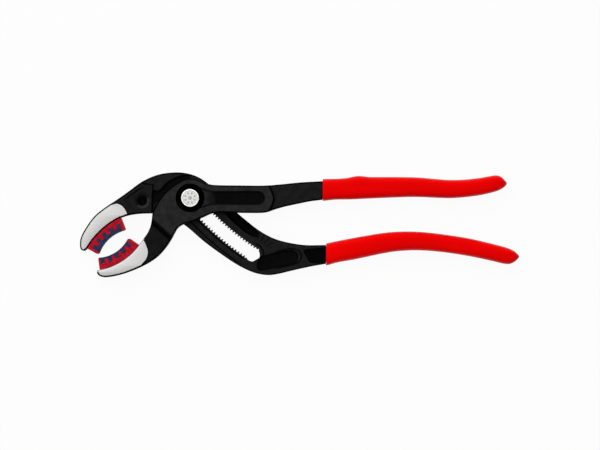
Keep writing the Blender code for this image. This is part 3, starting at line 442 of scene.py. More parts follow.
class PliersSizes(bpy.types.PropertyGroup):
    """Sizes of the pliers."""

    jaw_reach: length("Jaw reach", "From the joint's axis to the tip of the upper jaw",
                      -INNER_BOX[0].x, 0.03)
    handle_reach: length("Handle reach", "From the joint's axis to the end of the lower grip",
                         GRIP_BOX[1].x, 0.1)
    head_height: length("Head height", "Height across the closed jaws that the outlines follow",
                        0.0596, 0.03)
    plate: length("Box plate", "Thickness of each plate of the box", 0.0042, 0.002)
    arm: length("Arm thickness", "Thickness of the tang and of the upper arm", 0.0075, 0.003)
    running_gap: length("Running gap", "Clearance between pieces that move", 0.0003, 0.0001)
    forged_edge: length("Forged edge", "Radius along the edges of the inner lever's head",
                        0.0008, 0.0002)
    box_edge: length("Box edge", "Radius along the edges of the box and lower jaw", 0.0010, 0.0002)
    neck_step: length("Neck step", "How far the necks stand back from the jaws' ground faces",
                      0.0009, 0.0001)
    head_step: length("Head step", "How far the head stands back beside the box", 0.0017, 0.0002)
    # The sunk strip beside the box takes a darker tone as the painted shadow of the box.
    shadow_relief_step: length("Box relief", "How far the band sinks again beside the box", 0.0004, 0.0001)
    recess: length("Recess depth", "Depth of the plain recess before the lower grip",
                   0.0006, 0.0001)
    pocket: length("Pocket depth", "Depth of the long pockets in both levers", 0.0012, 0.0002)
    slot_half_width: length("Slot half width", "From the slot's centreline to the notches' tips",
                            0.0032, 0.001)
    notch_pitch: length("Notch pitch", "Distance between neighbouring settings", 0.0019, 0.001)
    notch_depth: length("Notch depth", "Depth of each notch", 0.0009, 0.0002)
    tooth_layer: length("Toothed layer", "How deep the notches reach below the band's face",
                        0.0020, 0.0005)
    relief: length("Relief half width", "Half width of the slot behind the notches", 0.0042, 0.002)
    slot_end: length("Slot end radius", "Radius of the slot's far end behind the notches",
                     0.0043, 0.002)
    grip: length("Grip thickness", "Thickness of the dipped grips",
                 GRIP_BOX[1].z - GRIP_BOX[0].z, 0.006)
    grip_wall: length("Grip wall", "Thickness of the vinyl over the tangs", 0.0015, 0.0005)
    bump: length("Thumb bump", "Height of the bump on the upper grip", 0.0008, 0.0)
    upper_lining: length("Upper lining", "Thickness of the upper lining between its keys",
                         0.0017, 0.0005)
    lower_lining: length("Lower lining", "Thickness of the lower lining between its keys",
                         0.0010, 0.0005)
    key_depth: length("Key depth", "How far the lining's keys reach into the backing",
                      0.0026, 0.0005)
    spring_wire: length("Spring wire", "Diameter of the catch spring's wire", 0.0006, 0.0003)
    spring_turns: FloatProperty(
        name="Spring turns", description="Turns of the catch spring", default=4.5, min=2.0,
    )
    scallops: IntProperty(
        name="Scallops", description="Fine scallops along each gripping face", default=20, min=4,
    )


def colour_property(name, description, default):
    """A colour that the panel can show."""
    return FloatVectorProperty(
        name=name, description=description, default=default, size=3, subtype="COLOR", min=0, max=1
    )


class PliersFinishes(bpy.types.PropertyGroup):
    """Colours of the pliers and their stage."""

    # Lands, box and recess are tones that the steel takes by height: the box's face lighter as
    # painted light, the recess floors darker as painted shade.
    land: colour_property("Lands", "Flat lands of the levers' arms and necks", (0.0124,) * 3)
    box: colour_property("Box", "Flat faces of the box and boss", (0.0210,) * 3)
    recess: colour_property("Recess", "Floors of the long pockets", (0.0025,) * 3)
    # Near-black of the slopes and edges: partly the forging's black, partly painted shade where
    # faces turn away from the front and back.
    forged_slope_shade: colour_property("Forged", "Slopes and edges of the levers", (0.0006,) * 3)
    polished: colour_property("Polished", "Ground side faces of the jaws", (0.61, 0.605, 0.60))
    vinyl: colour_property("Vinyl", "Dipped grips", (0.95, 0.0012, 0.0012))
    backing: colour_property("Backing", "Hard part of the inserts", (0.57, 0.011, 0.027))
    lining: colour_property("Lining", "Soft part of the inserts", (0.028, 0.047, 0.120))
    nickel: colour_property("Nickel", "Push button and catch", (0.68, 0.68, 0.67))
    rim: colour_property("Rim", "Polished rim of the button", (0.74, 0.74, 0.73))
    turned: colour_property("Turned steel", "Bolt", (0.012, 0.012, 0.013))
    spring: colour_property("Spring steel", "Spring and retaining ring", (0.52, 0.53, 0.55))
    floor: colour_property("Floor", "Floor under the tool", (0.90, 0.90, 0.90))


def sizes():
    """The scene's sizes."""
    return bpy.context.scene.pliers_sizes


def finishes():
    """The scene's colours."""
    return bpy.context.scene.pliers_finishes


def levels():
    """Heights through the thickness that the levers and inserts share."""
    size = sizes()
    thickness = LEVER_BOX[1].z
    return {
        "top": thickness,
        "middle": thickness / 2,
        "window": thickness - size.plate,
        "band_bottom": size.plate + size.running_gap,
        "band_top": thickness - size.plate - size.running_gap,
        "arm_inset": (thickness - size.arm) / 2,
    }


def place(share):
    """Turn a pair of shares into a point in the tool's plane."""
    size = sizes()
    reach = size.handle_reach if share[0] > 0 else size.jaw_reach
    return Vector((share[0] * reach, share[1] * size.head_height))


def places(shares):
    """Turn a table of shares into points."""
    return [place(share) for share in shares]


def smooth(points, steps=CURVE_STEPS):
    """Sample a smooth run through the points, both ends included."""
    run = []
    for index in range(len(points) - 1):
        before = points[max(index - 1, 0)]
        here = points[index]
        there = points[index + 1]
        after = points[min(index + 2, len(points) - 1)]
        reach = (there - here).length * HANDLE_SHARE
        handle_out = here + (there - before).normalized() * reach
        handle_in = there - (after - here).normalized() * reach
        run.extend(interpolate_bezier(here, handle_out, handle_in, there, steps + 1)[:-1])
    run.append(points[-1])
    return [Vector((point[0], point[1])) for point in run]


def polar(centre, radius, angle):
    """A point at an angle and a radius about a centre."""
    return Vector((centre[0] + radius * math.cos(angle), centre[1] + radius * math.sin(angle)))


def arc(centre, radius, start, end, steps=ARC_STEPS):
    """Sample an arc from one angle to another, both ends included."""
    return [
        polar(centre, radius, start + (end - start) * step / steps) for step in range(steps + 1)
    ]


def bow(end_shares, radius, bulge):
    """Centre and end angles of an arc through two places that bulges left (1) or right (-1)."""
    start, end = places(end_shares)
    half = (end - start) / 2
    rise = math.sqrt(radius ** 2 - half.length_squared)
    across = Vector((-half.y, half.x)).normalized() * bulge
    centre = (start + end) / 2 - across * rise
    spread = math.asin(half.length / radius)
    middle = math.atan2(across.y, across.x)
    return centre, (middle + bulge * spread, middle - bulge * spread)


def along(ends, share):
    """An angle at a share of the way between two end angles."""
    return ends[0] + (ends[1] - ends[0]) * share


def rounded(corner, before, after, radius, steps=CURVE_STEPS):
    """Points that round a corner off between its two neighbours."""
    reach_in = min(radius, (before - corner).length / 2)
    reach_out = min(radius, (after - corner).length / 2)
    start = corner + (before - corner).normalized() * reach_in
    end = corner + (after - corner).normalized() * reach_out
    bend = interpolate_bezier(start, (start + corner) / 2, (end + corner) / 2, end, steps + 1)
    return [Vector((point[0], point[1])) for point in bend]


def slot_radius():
    """Radius of the slot's centreline, from the joint's axis to the centre that it turns about."""
    return math.hypot(SIZE_AXIS[0], SIZE_AXIS[1])


def slot_place(notch, across):
    """A point in the slot: pitches along its centreline, and a distance across it outwards."""
    radius = slot_radius()
    start = math.pi + math.atan2(SIZE_AXIS[1], SIZE_AXIS[0])
    return polar(SIZE_AXIS, radius + across, start + notch * sizes().notch_pitch / radius)


def link(name, data):
    """Link a new object with this data to the scene."""
    item = bpy.data.objects.new(name, data)
    bpy.context.scene.collection.objects.link(item)
    return item


def link_shape(name, shape):
    """Link a new object with the mesh of a finished bmesh."""
    mesh = bpy.data.meshes.new(name)
    shape.to_mesh(mesh)
    shape.free()
    return link(name, mesh)


def mend(mesh, merge=True):
    """Point a mesh's faces outwards, after merging its doubles where asked."""
    shape = bmesh.new()
    shape.from_mesh(mesh)
    if merge:
        bmesh.ops.remove_doubles(shape, verts=shape.verts, dist=MERGE)
    bmesh.ops.recalc_face_normals(shape, faces=shape.faces)
    shape.to_mesh(mesh)
    shape.free()


def settle(item):
    """Turn a curve, or an object with modifiers, into a plain mesh object at the origin."""
    bpy.context.view_layer.update()
    graph = bpy.context.evaluated_depsgraph_get()
    mesh = bpy.data.meshes.new_from_object(item.evaluated_get(graph))
    mesh.transform(item.matrix_world)
    if item.matrix_world.determinant() < 0:
        mesh.flip_normals()
    if item.type == "MESH":
        item.modifiers.clear()
        item.data = mesh
        item.matrix_world = Matrix.Identity(4)
        return item
    solid = link(item.name, mesh)
    bpy.data.objects.remove(item, do_unlink=True)
    mend(mesh)
    return solid


def slab(name, outline, bottom, top, edge=0, inset=0):
    """A flat outline made solid between two heights, with its long edges rounded."""
    curve = bpy.data.curves.new(name, "CURVE")
    curve.dimensions = "2D"
    curve.fill_mode = "BOTH"
    curve.extrude = (top - bottom) / 2 - edge
    curve.bevel_depth = edge
    curve.offset = -edge - inset
    curve.bevel_resolution = EDGE_STEPS
    spline = curve.splines.new("POLY")
    spline.points.add(len(outline) - 1)
    for point, target in zip(spline.points, outline):
        point.co = (target[0], target[1], 0, 1)
    spline.use_cyclic_u = True
    item = link(name, curve)
    item.location.z = (top + bottom) / 2
    return settle(item)


def cylinder(name, radius, bottom, top, centre=(0, 0), top_radius=None):
    """A round solid that stands along Z."""
    shape = bmesh.new()
    bmesh.ops.create_cone(
        shape,
        cap_ends=True,
        segments=ROUND_SEGMENTS,
        radius1=radius,
        radius2=radius if top_radius is None else top_radius,
        depth=top - bottom,
        matrix=Matrix.Translation((centre[0], centre[1], (top + bottom) / 2)),
    )
    return link_shape(name, shape)


def turned(name, profile, closed=False):
    """A turned solid from a profile of radii and heights, listed from the top down."""
    shape = bmesh.new()
    corners = [shape.verts.new((radius, 0, height)) for radius, height in profile]
    edges = [shape.edges.new(pair) for pair in zip(corners, corners[1:])]
    if closed:
        edges.append(shape.edges.new((corners[-1], corners[0])))
    bmesh.ops.spin(
        shape, geom=corners + edges, cent=(0, 0, 0), axis=(0, 0, 1), angle=math.tau,
        steps=ROUND_SEGMENTS, use_merge=True,
    )
    bmesh.ops.remove_doubles(shape, verts=shape.verts, dist=MERGE)
    bmesh.ops.recalc_face_normals(shape, faces=shape.faces)
    return link_shape(name, shape)


def combine(item, tools, operation):
    """Join tools to an object or cut them out of it, and clear the tools away."""
    for tool in tools:
        modifier = item.modifiers.new(tool.name, "BOOLEAN")
        modifier.operation = operation
        modifier.solver = "EXACT"
        modifier.object = tool
    settle(item)
    for tool in tools:
        bpy.data.objects.remove(tool, do_unlink=True)
    return item


def cut(item, *tools):
    """Cut tools out of an object."""
    return combine(item, tools, "DIFFERENCE")


def join(item, *tools):
    """Join tools to an object."""
    return combine(item, tools, "UNION")


def both_faces(name, outline, depth, edge=0):
    """Two cutters that sink an outline into the front and back faces, with filleted floors."""
    top = levels()["top"]
    front = slab(name + "_front", outline, top - depth, top + OVERRUN, edge)
    back = slab(name + "_back", outline, -OVERRUN, depth, edge)
    return front, back


def tree_with(name, inputs):
    """A new Geometry Nodes tree with a geometry in and out and the named inputs."""
    tree = bpy.data.node_groups.new(name, "GeometryNodeTree")
    face = tree.interface
    face.new_socket("Geometry", in_out="INPUT", socket_type="NodeSocketGeometry")
    for title, kind in inputs:
        face.new_socket(title, in_out="INPUT", socket_type="NodeSocket" + kind)
    face.new_socket("Geometry", in_out="OUTPUT", socket_type="NodeSocketGeometry")
    return tree


def feed(tree, socket, value):
    """Give a socket a plain value, or link another node's socket to it."""
    if isinstance(value, bpy.types.NodeSocket):
        tree.links.new(value, socket)
    else:
        socket.default_value = value


def node(tree, kind, settings=None, **inputs):
    """Add a node, set it up, and feed each named input."""
    made = tree.nodes.new(kind)
    for key, value in (settings or {}).items():
        setattr(made, key, value)
    for key, value in inputs.items():
        feed(tree, made.inputs[key.replace("_", " ")], value)
    return made


def maths(tree, operation, *values):
    """A sum, product or the like of numbers and sockets."""
    made = node(tree, "ShaderNodeMath", {"operation": operation})
    for socket, value in zip(made.inputs, values):
        feed(tree, socket, value)
    return made.outputs[0]


def end_tree(tree, source, material):
    """Realise the result, give it its material and send it out."""
    real = node(tree, "GeometryNodeRealizeInstances", Geometry=source)
    painted = node(tree, "GeometryNodeSetMaterial", Geometry=real.outputs[0], Material=material)
    node(tree, "NodeGroupOutput", Geometry=painted.outputs[0])


def round_bar(tree, path, radius, sides):
    """A round bar with closed ends along a path."""
    ring = node(tree, "GeometryNodeCurvePrimitiveCircle", Resolution=sides, Radius=radius)
    return node(tree, "GeometryNodeCurveToMesh", Curve=path, Profile_Curve=ring.outputs[0],
                Fill_Caps=True).outputs[0]


def fan_tree():
    """Copies of a shape, turned step by step about a centre, as notches, ribs and rays are."""
    name = "Fan of copies"
    if name in bpy.data.node_groups:
        return bpy.data.node_groups[name]
    tree = tree_with(name, (
        ("Count", "Int"), ("Start", "Float"), ("Step", "Float"), ("Centre", "Vector"),
        ("Material", "Material"),
    ))
    given = node(tree, "NodeGroupInput").outputs
    points = node(tree, "GeometryNodeMeshLine", Count=given["Count"], Offset=(0, 0, 0),
                  Start_Location=given["Centre"])
    index = node(tree, "GeometryNodeInputIndex")
    turn = maths(tree, "MULTIPLY_ADD", index.outputs[0], given["Step"], given["Start"])
    angles = node(tree, "ShaderNodeCombineXYZ", Z=turn)
    placed = node(tree, "GeometryNodeInstanceOnPoints", Points=points.outputs[0],
                  Instance=given["Geometry"], Rotation=angles.outputs[0])
    end_tree(tree, placed.outputs[0], given["Material"])
    return tree


def sweep_tree():
    """A round bar along a path, for grooves and wire."""
    name = "Round bar along a path"
    if name in bpy.data.node_groups:
        return bpy.data.node_groups[name]
    tree = tree_with(name, (("Radius", "Float"), ("Sides", "Int"), ("Material", "Material")))
    given = node(tree, "NodeGroupInput").outputs
    path = node(tree, "GeometryNodeMeshToCurve", Mesh=given["Geometry"])
    swept = round_bar(tree, path.outputs[0], given["Radius"], given["Sides"])
    end_tree(tree, swept, given["Material"])
    return tree


def coil_tree():
    """A coil of wire with a set number of turns."""
    name = "Coil of wire"
    if name in bpy.data.node_groups:
        return bpy.data.node_groups[name]
    tree = tree_with(name, (
        ("Turns", "Float"), ("Height", "Float"), ("Radius", "Float"), ("Wire", "Float"),
        ("Foot", "Vector"), ("Material", "Material"),
    ))
    given = node(tree, "NodeGroupInput").outputs
    path = node(tree, "GeometryNodeCurveSpiral", Resolution=COIL_POINTS, Rotations=given["Turns"],
                Start_Radius=given["Radius"], End_Radius=given["Radius"], Height=given["Height"])
    stood = node(tree, "GeometryNodeTransform", Geometry=path.outputs[0],
                 Translation=given["Foot"])
    wire = round_bar(tree, stood.outputs[0], given["Wire"], WIRE_SIDES)
    end_tree(tree, wire, given["Material"])
    return tree


def grow(item, tree, values):
    """Run a Geometry Nodes tree on an object with named input values, and keep the mesh."""
    modifier = item.modifiers.new(tree.name, "NODES")
    modifier.node_group = tree
    for socket in tree.interface.items_tree:
        if socket.name in values:
            modifier[socket.identifier] = values[socket.name]
    settle(item)
    mend(item.data, merge=False)
    return item


def fan_out(item, count, start, step, centre, material):
    """Copies of an object fanned about a centre, from one angle on, step by step."""
    return grow(item, fan_tree(), {
        "Count": count, "Start": start, "Step": step, "Centre": (centre[0], centre[1], 0.0),
        "Material": material_named(material),
    })


def bar(name, points, radius, heights):
    """A round bar through points, each at its own height, as a cutter for a groove."""
    mesh = bpy.data.meshes.new(name)
    corners = [(point[0], point[1], height) for point, height in zip(points, heights)]
    mesh.from_pydata(corners, [(step, step + 1) for step in range(len(points) - 1)], [])
    values = {"Radius": radius, "Sides": BAR_SIDES, "Material": material_named("inner steel")}
    return grow(link(name, mesh), sweep_tree(), values)


def grooves(name, points, radius, depth, face_depth, fade):
    """Bars that press the same groove into both faces, fading out over a share of its ends."""
    top = levels()["top"]
    last = len(points) - 1
    lifts = []
    for step in range(last + 1):
        share = min(min(step, last - step) / last / fade, 1)
        lifts.append(radius - depth * ((1 + END_LIFT) * math.sin(share * math.pi / 2) - END_LIFT))
    return (
        bar(name + "_front", points, radius, [top - face_depth + lift for lift in lifts]),
        bar(name + "_back", points, radius, [face_depth - lift for lift in lifts]),
    )


def roll_offs(name, start, end, reach, drop, near, rise):
    """Two cutters that round the faces down towards a line on their right, and up beyond it."""
    radius = (reach ** 2 + drop ** 2) / (2 * drop)
    near_radius = (near ** 2 + rise ** 2) / (2 * rise)
    profile = [
        Vector((reach * step / ROLL_STEPS, ROLL_LIFT - radius
                + math.sqrt(radius ** 2 - (reach - reach * step / ROLL_STEPS) ** 2)))
        for step in range(ROLL_STEPS + 1)
    ]
    profile += [Vector((reach, OVERRUN)), Vector((-near, OVERRUN))]
    profile += [
        Vector((-near * step / ROLL_STEPS,
                ROLL_LIFT + near_radius - drop
                - math.sqrt(near_radius ** 2 - (near * step / ROLL_STEPS) ** 2)))
        for step in range(ROLL_STEPS, 0, -1)
    ]
    run = end - start
    across = Vector((-run.y, run.x, 0)).normalized()
    middle = (start + end) / 2
    solids = []
    for side, height, up in (("front", levels()["top"], 1), ("back", 0, -1)):
        solid = slab(f"{name}_{side}", profile[::-1], -run.length / 2, run.length / 2)
        outwards = Vector((0, 0, up))
        turn = Matrix((across, outwards, across.cross(outwards))).transposed().to_4x4()
        solid.matrix_world = Matrix.Translation((middle.x, middle.y, height)) @ turn
        solids.append(settle(solid))
    return solids


def colour_mix(tree, low, high, factor):
    """Two colours, plain ones or another node's, mixed by a factor."""
    mix = node(tree, "ShaderNodeMix", {"data_type": "RGBA"})
    tree.links.new(factor, mix.inputs["Factor"])
    for socket, colour in zip(mix.inputs[6:8], (low, high)):
        feed(tree, socket, (*colour, 1) if isinstance(colour, tuple) else colour)
    return mix.outputs[2]


def noise(tree, scale, detail=3.0, stretch=(1, 1, 1), turn=0.0):
    """Noise on object coordinates, stretched and turned where a grain runs one way."""
    place_on = node(tree, "ShaderNodeTexCoord")
    mapping = node(tree, "ShaderNodeMapping", Vector=place_on.outputs["Object"], Scale=stretch,
                   Rotation=(0, 0, turn))
    return node(tree, "ShaderNodeTexNoise", Vector=mapping.outputs[0], Scale=scale,
                Detail=detail).outputs["Fac"]


def ramp(tree, factor, low, high):
    """Stretch the part of a factor between two values to the whole range."""
    return node(tree, "ShaderNodeMapRange", Value=factor, From_Min=low, From_Max=high).outputs[0]


def fitted(tree, factor, low, high):
    """Fit the whole range of a factor between two values."""
    return node(tree, "ShaderNodeMapRange", Value=factor, To_Min=low, To_Max=high).outputs[0]


def colour_scale(tree, factor, tones):
    """A scale of tones, each at its own place."""
    scale = node(tree, "ShaderNodeValToRGB", Fac=factor)
    stops = scale.color_ramp.elements
    for index, (spot, tone) in enumerate(tones):
        stop = stops[index] if index < 2 else stops.new(1.0)
        stop.position = spot
        stop.color = (*tone, 1)
    return scale.outputs[0]


def flatness(tree, low, high):
    """How squarely a surface faces the front or back, stretched between two values."""
    spot = node(tree, "ShaderNodeTexCoord")
    parts = node(tree, "ShaderNodeSeparateXYZ", Vector=spot.outputs["Normal"])
    return ramp(tree, maths(tree, "ABSOLUTE", parts.outputs["Z"]), low, high)


def bumped(tree, height, strength, distance):
    """A bump from a height."""
    return node(tree, "ShaderNodeBump", Height=height, Strength=strength,
                Distance=distance).outputs[0]


def scaled(colour, share):
    """A colour made lighter or darker by a share."""
    return tuple(min(channel * share, 1) for channel in colour)


def new_material(name, base, roughness, specular, metallic=0.0):
    """A Principled material with its plain values set."""
    material = bpy.data.materials.new(name)
    material.use_nodes = True
    shader = material.node_tree.nodes["Principled BSDF"]
    shader.inputs["Base Color"].default_value = (*base, 1)
    shader.inputs["Roughness"].default_value = roughness
    shader.inputs["Metallic"].default_value = metallic
    shader.inputs["Specular IOR Level"].default_value = specular
    return material, material.node_tree, shader


def depth_shaded_steel(name, tones, slope, roughness, specular):
    """Black steel: flats lighter the higher they lie and recess floors darker by their depth, as
    painted light and shade, and near-black slopes that are partly the forging's black and partly
    painted shade.
    """
    material, tree, shader = new_material(name, tones[0][1], roughness, specular)
    middle = levels()["middle"]
    span = middle * LEVEL_SPAN
    spot = node(tree, "ShaderNodeTexCoord")
    parts = node(tree, "ShaderNodeSeparateXYZ", Vector=spot.outputs["Object"])
    # Painted shade by depth: the lower a face lies below the front or back, the darker its tone.
    height = maths(tree, "ABSOLUTE", maths(tree, "SUBTRACT", parts.outputs["Z"], middle))
    wander = fitted(tree, noise(tree, scale=260.0), -LEVEL_WANDER, LEVEL_WANDER)
    share = ramp(tree, maths(tree, "ADD", height, wander), 0, span)
    rising = sorted(tones, key=lambda pair: pair[0])
    ground = colour_scale(tree, share, [(level / span, tone) for level, tone in rising])
    # Painted shade on slopes: faces that turn away from the front and back fade to the near-black
    # slope tone, which is partly the forging's black.
    base = colour_mix(tree, slope, ground, flatness(tree, *FORGED_SHADE_FLATNESS))
    cloud = ramp(tree, noise(tree, scale=330.0, detail=5.0), *CLOUD_RANGE)
    mottled = node(tree, "ShaderNodeVectorMath", {"operation": "SCALE"}, Vector=base,
                   Scale=fitted(tree, cloud, *CLOUD_TONES))
    tree.links.new(mottled.outputs[0], shader.inputs["Base Color"])
    skin = bumped(tree, noise(tree, scale=1500.0), strength=0.35, distance=0.00004)
    tree.links.new(skin, shader.inputs["Normal"])
    gloss = fitted(tree, cloud, roughness - 0.06, roughness + 0.08)
    tree.links.new(gloss, shader.inputs["Roughness"])
    return material


def plain_steel(name, colour, roughness, specular):
    """Blackened steel on small turned or drilled surfaces."""
    material, tree, shader = new_material(name, colour, roughness, specular)
    cloud = ramp(tree, noise(tree, scale=600.0), *CLOUD_RANGE)
    tone = colour_mix(tree, scaled(colour, 0.8), scaled(colour, 1.2), cloud)
    tree.links.new(tone, shader.inputs["Base Color"])
    return material


def metal(name, colour, roughness, grain=0.10, grain_turn=0.0):
    """Bare metal with a fine grain that runs one way."""
    material, tree, shader = new_material(name, colour, roughness, specular=0.5, metallic=1.0)
    lines = noise(tree, scale=900.0, detail=2.0, stretch=(0.06, 1, 1), turn=grain_turn)
    tone = colour_mix(tree, scaled(colour, 1 - grain), scaled(colour, 1 + grain / 2), lines)
    tree.links.new(tone, shader.inputs["Base Color"])
    tree.links.new(bumped(tree, lines, strength=0.12, distance=0.00002), shader.inputs["Normal"])
    return material


def vinyl(name, colour):
    """Dipped vinyl: a smooth bright skin with faint flow lines, and painted shade that darkens its
    sides.
    """
    material, tree, shader = new_material(name, colour, roughness=0.42, specular=0.30)
    shader.inputs["Specular Tint"].default_value = (*scaled(colour, 1.2), 1)
    flow = ramp(tree, noise(tree, scale=160.0, stretch=(0.12, 1, 1)), *CLOUD_RANGE)
    tone = colour_mix(tree, scaled(colour, 0.93), scaled(colour, 1.05), flow)
    # Painted shade: where the grip's sides turn away from the front and back, the red darkens.
    side_shade = colour_mix(tree, scaled(colour, 0.60), tone, flatness(tree, *VINYL_SHADE_FLATNESS))
    tree.links.new(side_shade, shader.inputs["Base Color"])
    skin = bumped(tree, noise(tree, scale=900.0, detail=2.0), strength=0.15, distance=0.00004)
    tree.links.new(skin, shader.inputs["Normal"])
    return material


def moulded(name, colour, roughness):
    """Moulded plastic with a fine grain and soft patches of tone."""
    material, tree, shader = new_material(name, colour, roughness, specular=0.25)
    shader.inputs["Specular Tint"].default_value = (*scaled(colour, 1.5), 1)
    cloud = ramp(tree, noise(tree, scale=520.0), *CLOUD_RANGE)
    tone = colour_mix(tree, scaled(colour, 0.60), scaled(colour, 1.14), cloud)
    tree.links.new(tone, shader.inputs["Base Color"])
    grain = bumped(tree, noise(tree, scale=3200.0, detail=2.0), strength=0.3, distance=0.00003)
    tree.links.new(grain, shader.inputs["Normal"])
    return material


def make_materials():
    """Every material of the tool, made once under the name that the pieces use."""
    tint = finishes()
    size = sizes()
    level = levels()
    middle = level["middle"]
    black = {"roughness": 0.50, "specular": 0.02}
    land = tuple(tint.land)
    recess = tuple(tint.recess)
    slope = tuple(tint.forged_slope_shade)
    band = level["band_top"] - middle
    arm = middle - level["arm_inset"]
    neck = middle - size.neck_step
    head = middle - size.head_step
    # Both steels paint light and shade by height: the outer lever's front face lightest, lower
    # lands darker and floors darkest, with fillets and walls between levels in the near-black slope
    # tone.
    # Tones some hairs apart keep a flat's tone to its own level, and off the fillets beside it.
    depth_shaded_steel("outer steel", (
        (middle, tuple(tint.box)),
        (middle - size.neck_step * FILLET_TONE_SHARE, scaled(land, 0.9)),
        (neck, scaled(land, 0.68)),
        # Painted shade on the pocket's floor, darker still below it.
        (middle - size.pocket, recess),
        (middle - size.pocket * FLOOR_SHADE_SHARE, scaled(recess, 0.4)),
        (arm + HAIR * 20, slope),
        (arm + HAIR * 4, land),
        (arm - HAIR * 4, land),
        (arm - HAIR * 20, slope),
    ), slope, **black)
    depth_shaded_steel("inner steel", (
        (neck + HAIR * 10, land),
        (neck - HAIR * 10, land),
        (neck - HAIR * 30, slope),
        (head - HAIR * 30, slope),
        (head, land),
        (head - HAIR * 12, slope),
        (band + HAIR * 30, slope),
        (band + HAIR * 8, land),
        (band - HAIR * 4, land),
        # Painted shadow of the box on the strip sunk beside it.
        (band - HAIR * 12, scaled(land, 0.5)),
        (band - size.shadow_relief_step, scaled(land, 0.3)),
        # Painted shade on the recess and pocket floors, darker the deeper.
        (band - size.recess, scaled(recess, 0.25)),
        (band - size.pocket, recess),
        (band - size.pocket * FLOOR_SHADE_SHARE, scaled(recess, 0.3)),
    ), slope, **black)
    # Painted highlight on the lit side of the dimple's rim: a lighter steel.
    plain_steel("ground steel", scaled(land, 2.4), **black)
    # The collar takes the near-black slope tone: its own black, darkened further as painted shade
    # in the ring around the button.
    plain_steel("black collar", slope, roughness=0.50, specular=0.005)
    polish = math.radians(POLISH_ANGLE)
    metal("polished steel", tuple(tint.polished), roughness=0.48, grain=0.04, grain_turn=polish)
    vinyl("red vinyl", tuple(tint.vinyl))
    moulded("red plastic", tuple(tint.backing), roughness=0.55)
    moulded("blue lining", tuple(tint.lining), roughness=0.65)
    metal("nickel", tuple(tint.nickel), roughness=0.40, grain=0.05)
    metal("bright nickel", tuple(tint.rim), roughness=0.16, grain=0.02)
    # Dull nickel for the button's marks and centre, and as painted shade in its groove ring.
    metal("dull nickel", scaled(tuple(tint.nickel), 0.62), roughness=0.45, grain=0.05)
    metal("turned steel", tuple(tint.turned), roughness=0.42)
    metal("spring steel", tuple(tint.spring), roughness=0.32)


def material_named(name):
    """A material of the tool. All are made on first use."""
    if name not in bpy.data.materials:
        make_materials()
    return bpy.data.materials[name]


def shade(item, sharp=FORGED_SHARP):
    """Merge doubles, shade round faces smooth and keep flat faces flat."""
    shape = bmesh.new()
    shape.from_mesh(item.data)
    bmesh.ops.remove_doubles(shape, verts=shape.verts, dist=MERGE)
    bmesh.ops.dissolve_degenerate(shape, edges=shape.edges, dist=MERGE)
    for face in shape.faces:
        face.smooth = abs(face.normal.z) < FLAT_LIMIT
    shape.to_mesh(item.data)
    shape.free()
    item.data.set_sharp_from_angle(angle=math.radians(sharp))


def finish_piece(item, body, nodes, materials, sharp=FORGED_SHARP):
    """Shade a piece, give it its materials, and hang it on its body in place of CAD nodes."""
    shade(item, sharp)
    if materials:
        item.data.materials.clear()
        for name in materials:
            item.data.materials.append(material_named(name))
    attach(item, body)
    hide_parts(*nodes)
    return item


def paint_faces(item, names, choose):
    """Give each face the material that a rule picks from a list of names."""
    item.data.materials.clear()
    for name in names:
        item.data.materials.append(material_named(name))
    for face in item.data.polygons:
        face.material_index = names.index(choose(face.center, face.normal))


def grip_stations(shares):
    """Stations along a grip in metres: X, top edge, bottom edge and half thickness."""
    size = sizes()
    return [
        (x * size.handle_reach, top * size.head_height, bottom * size.head_height,
         thickness * size.grip / 2)
        for x, top, bottom, thickness in shares
    ]


def fine_stations(stations, steps):
    """Fill in stations on smooth curves between the given ones, and round the far tip."""
    fine = []
    count = len(stations)
    for index in range(count - 1):
        ring = [stations[min(max(index + offset, 0), count - 1)] for offset in (-1, 0, 1, 2)]
        for step in range(steps):
            t = step / steps
            fine.append(tuple(
                b + (c - a) * t / 2 + (a - 2.5 * b + 2 * c - d / 2) * t ** 2
                + (1.5 * b - 1.5 * c + (d - a) / 2) * t ** 3
                for a, b, c, d in zip(*ring)
            ))
    x, top, bottom, half = stations[-1]
    middle = (top + bottom) / 2
    fine.append((x - HAIR, top, bottom, half))
    fine.append((x, middle + (top - middle) / 2, middle + (bottom - middle) / 2, half / 2))
    return fine


def tang_edges(stations):
    """Top and bottom edges of the tang that a grip covers, inside the grip's wall."""
    size = sizes()
    inset = size.grip_wall + size.running_gap
    front = stations[0][0] - FIT
    covered = stations[2:TANG_STATIONS]
    top = [Vector((front, stations[0][1] - inset))]
    bottom = [Vector((front, stations[0][2] + inset))]
    for x, upper, lower, _ in covered:
        top.append(Vector((x, upper - inset)))
        bottom.append(Vector((x, lower + inset)))
    return smooth(top, TANG_STEPS), smooth(bottom, TANG_STEPS)[::-1]


def loft(name, stations):
    """A rounded bar through stations about the middle of the thickness."""
    middle = levels()["middle"]
    shape = bmesh.new()
    rings = []
    for x, top, bottom, half in stations:
        ring = []
        for side in range(GRIP_SIDES):
            turn = math.tau * side / GRIP_SIDES
            across = math.copysign(abs(math.cos(turn)) ** GRIP_SQUARENESS, math.cos(turn))
            up = math.copysign(abs(math.sin(turn)) ** GRIP_SQUARENESS, math.sin(turn))
            y = (top + bottom) / 2 + across * (top - bottom) / 2
            ring.append(shape.verts.new((x, y, middle + up * half)))
        rings.append(ring)
    for ring, following in zip(rings, rings[1:]):
        for side in range(GRIP_SIDES):
            after = (side + 1) % GRIP_SIDES
            shape.faces.new((ring[side], ring[after], following[after], following[side]))
    shape.faces.new(reversed(rings[0]))
    shape.faces.new(rings[-1])
    bmesh.ops.recalc_face_normals(shape, faces=shape.faces)
    return link_shape(name, shape)


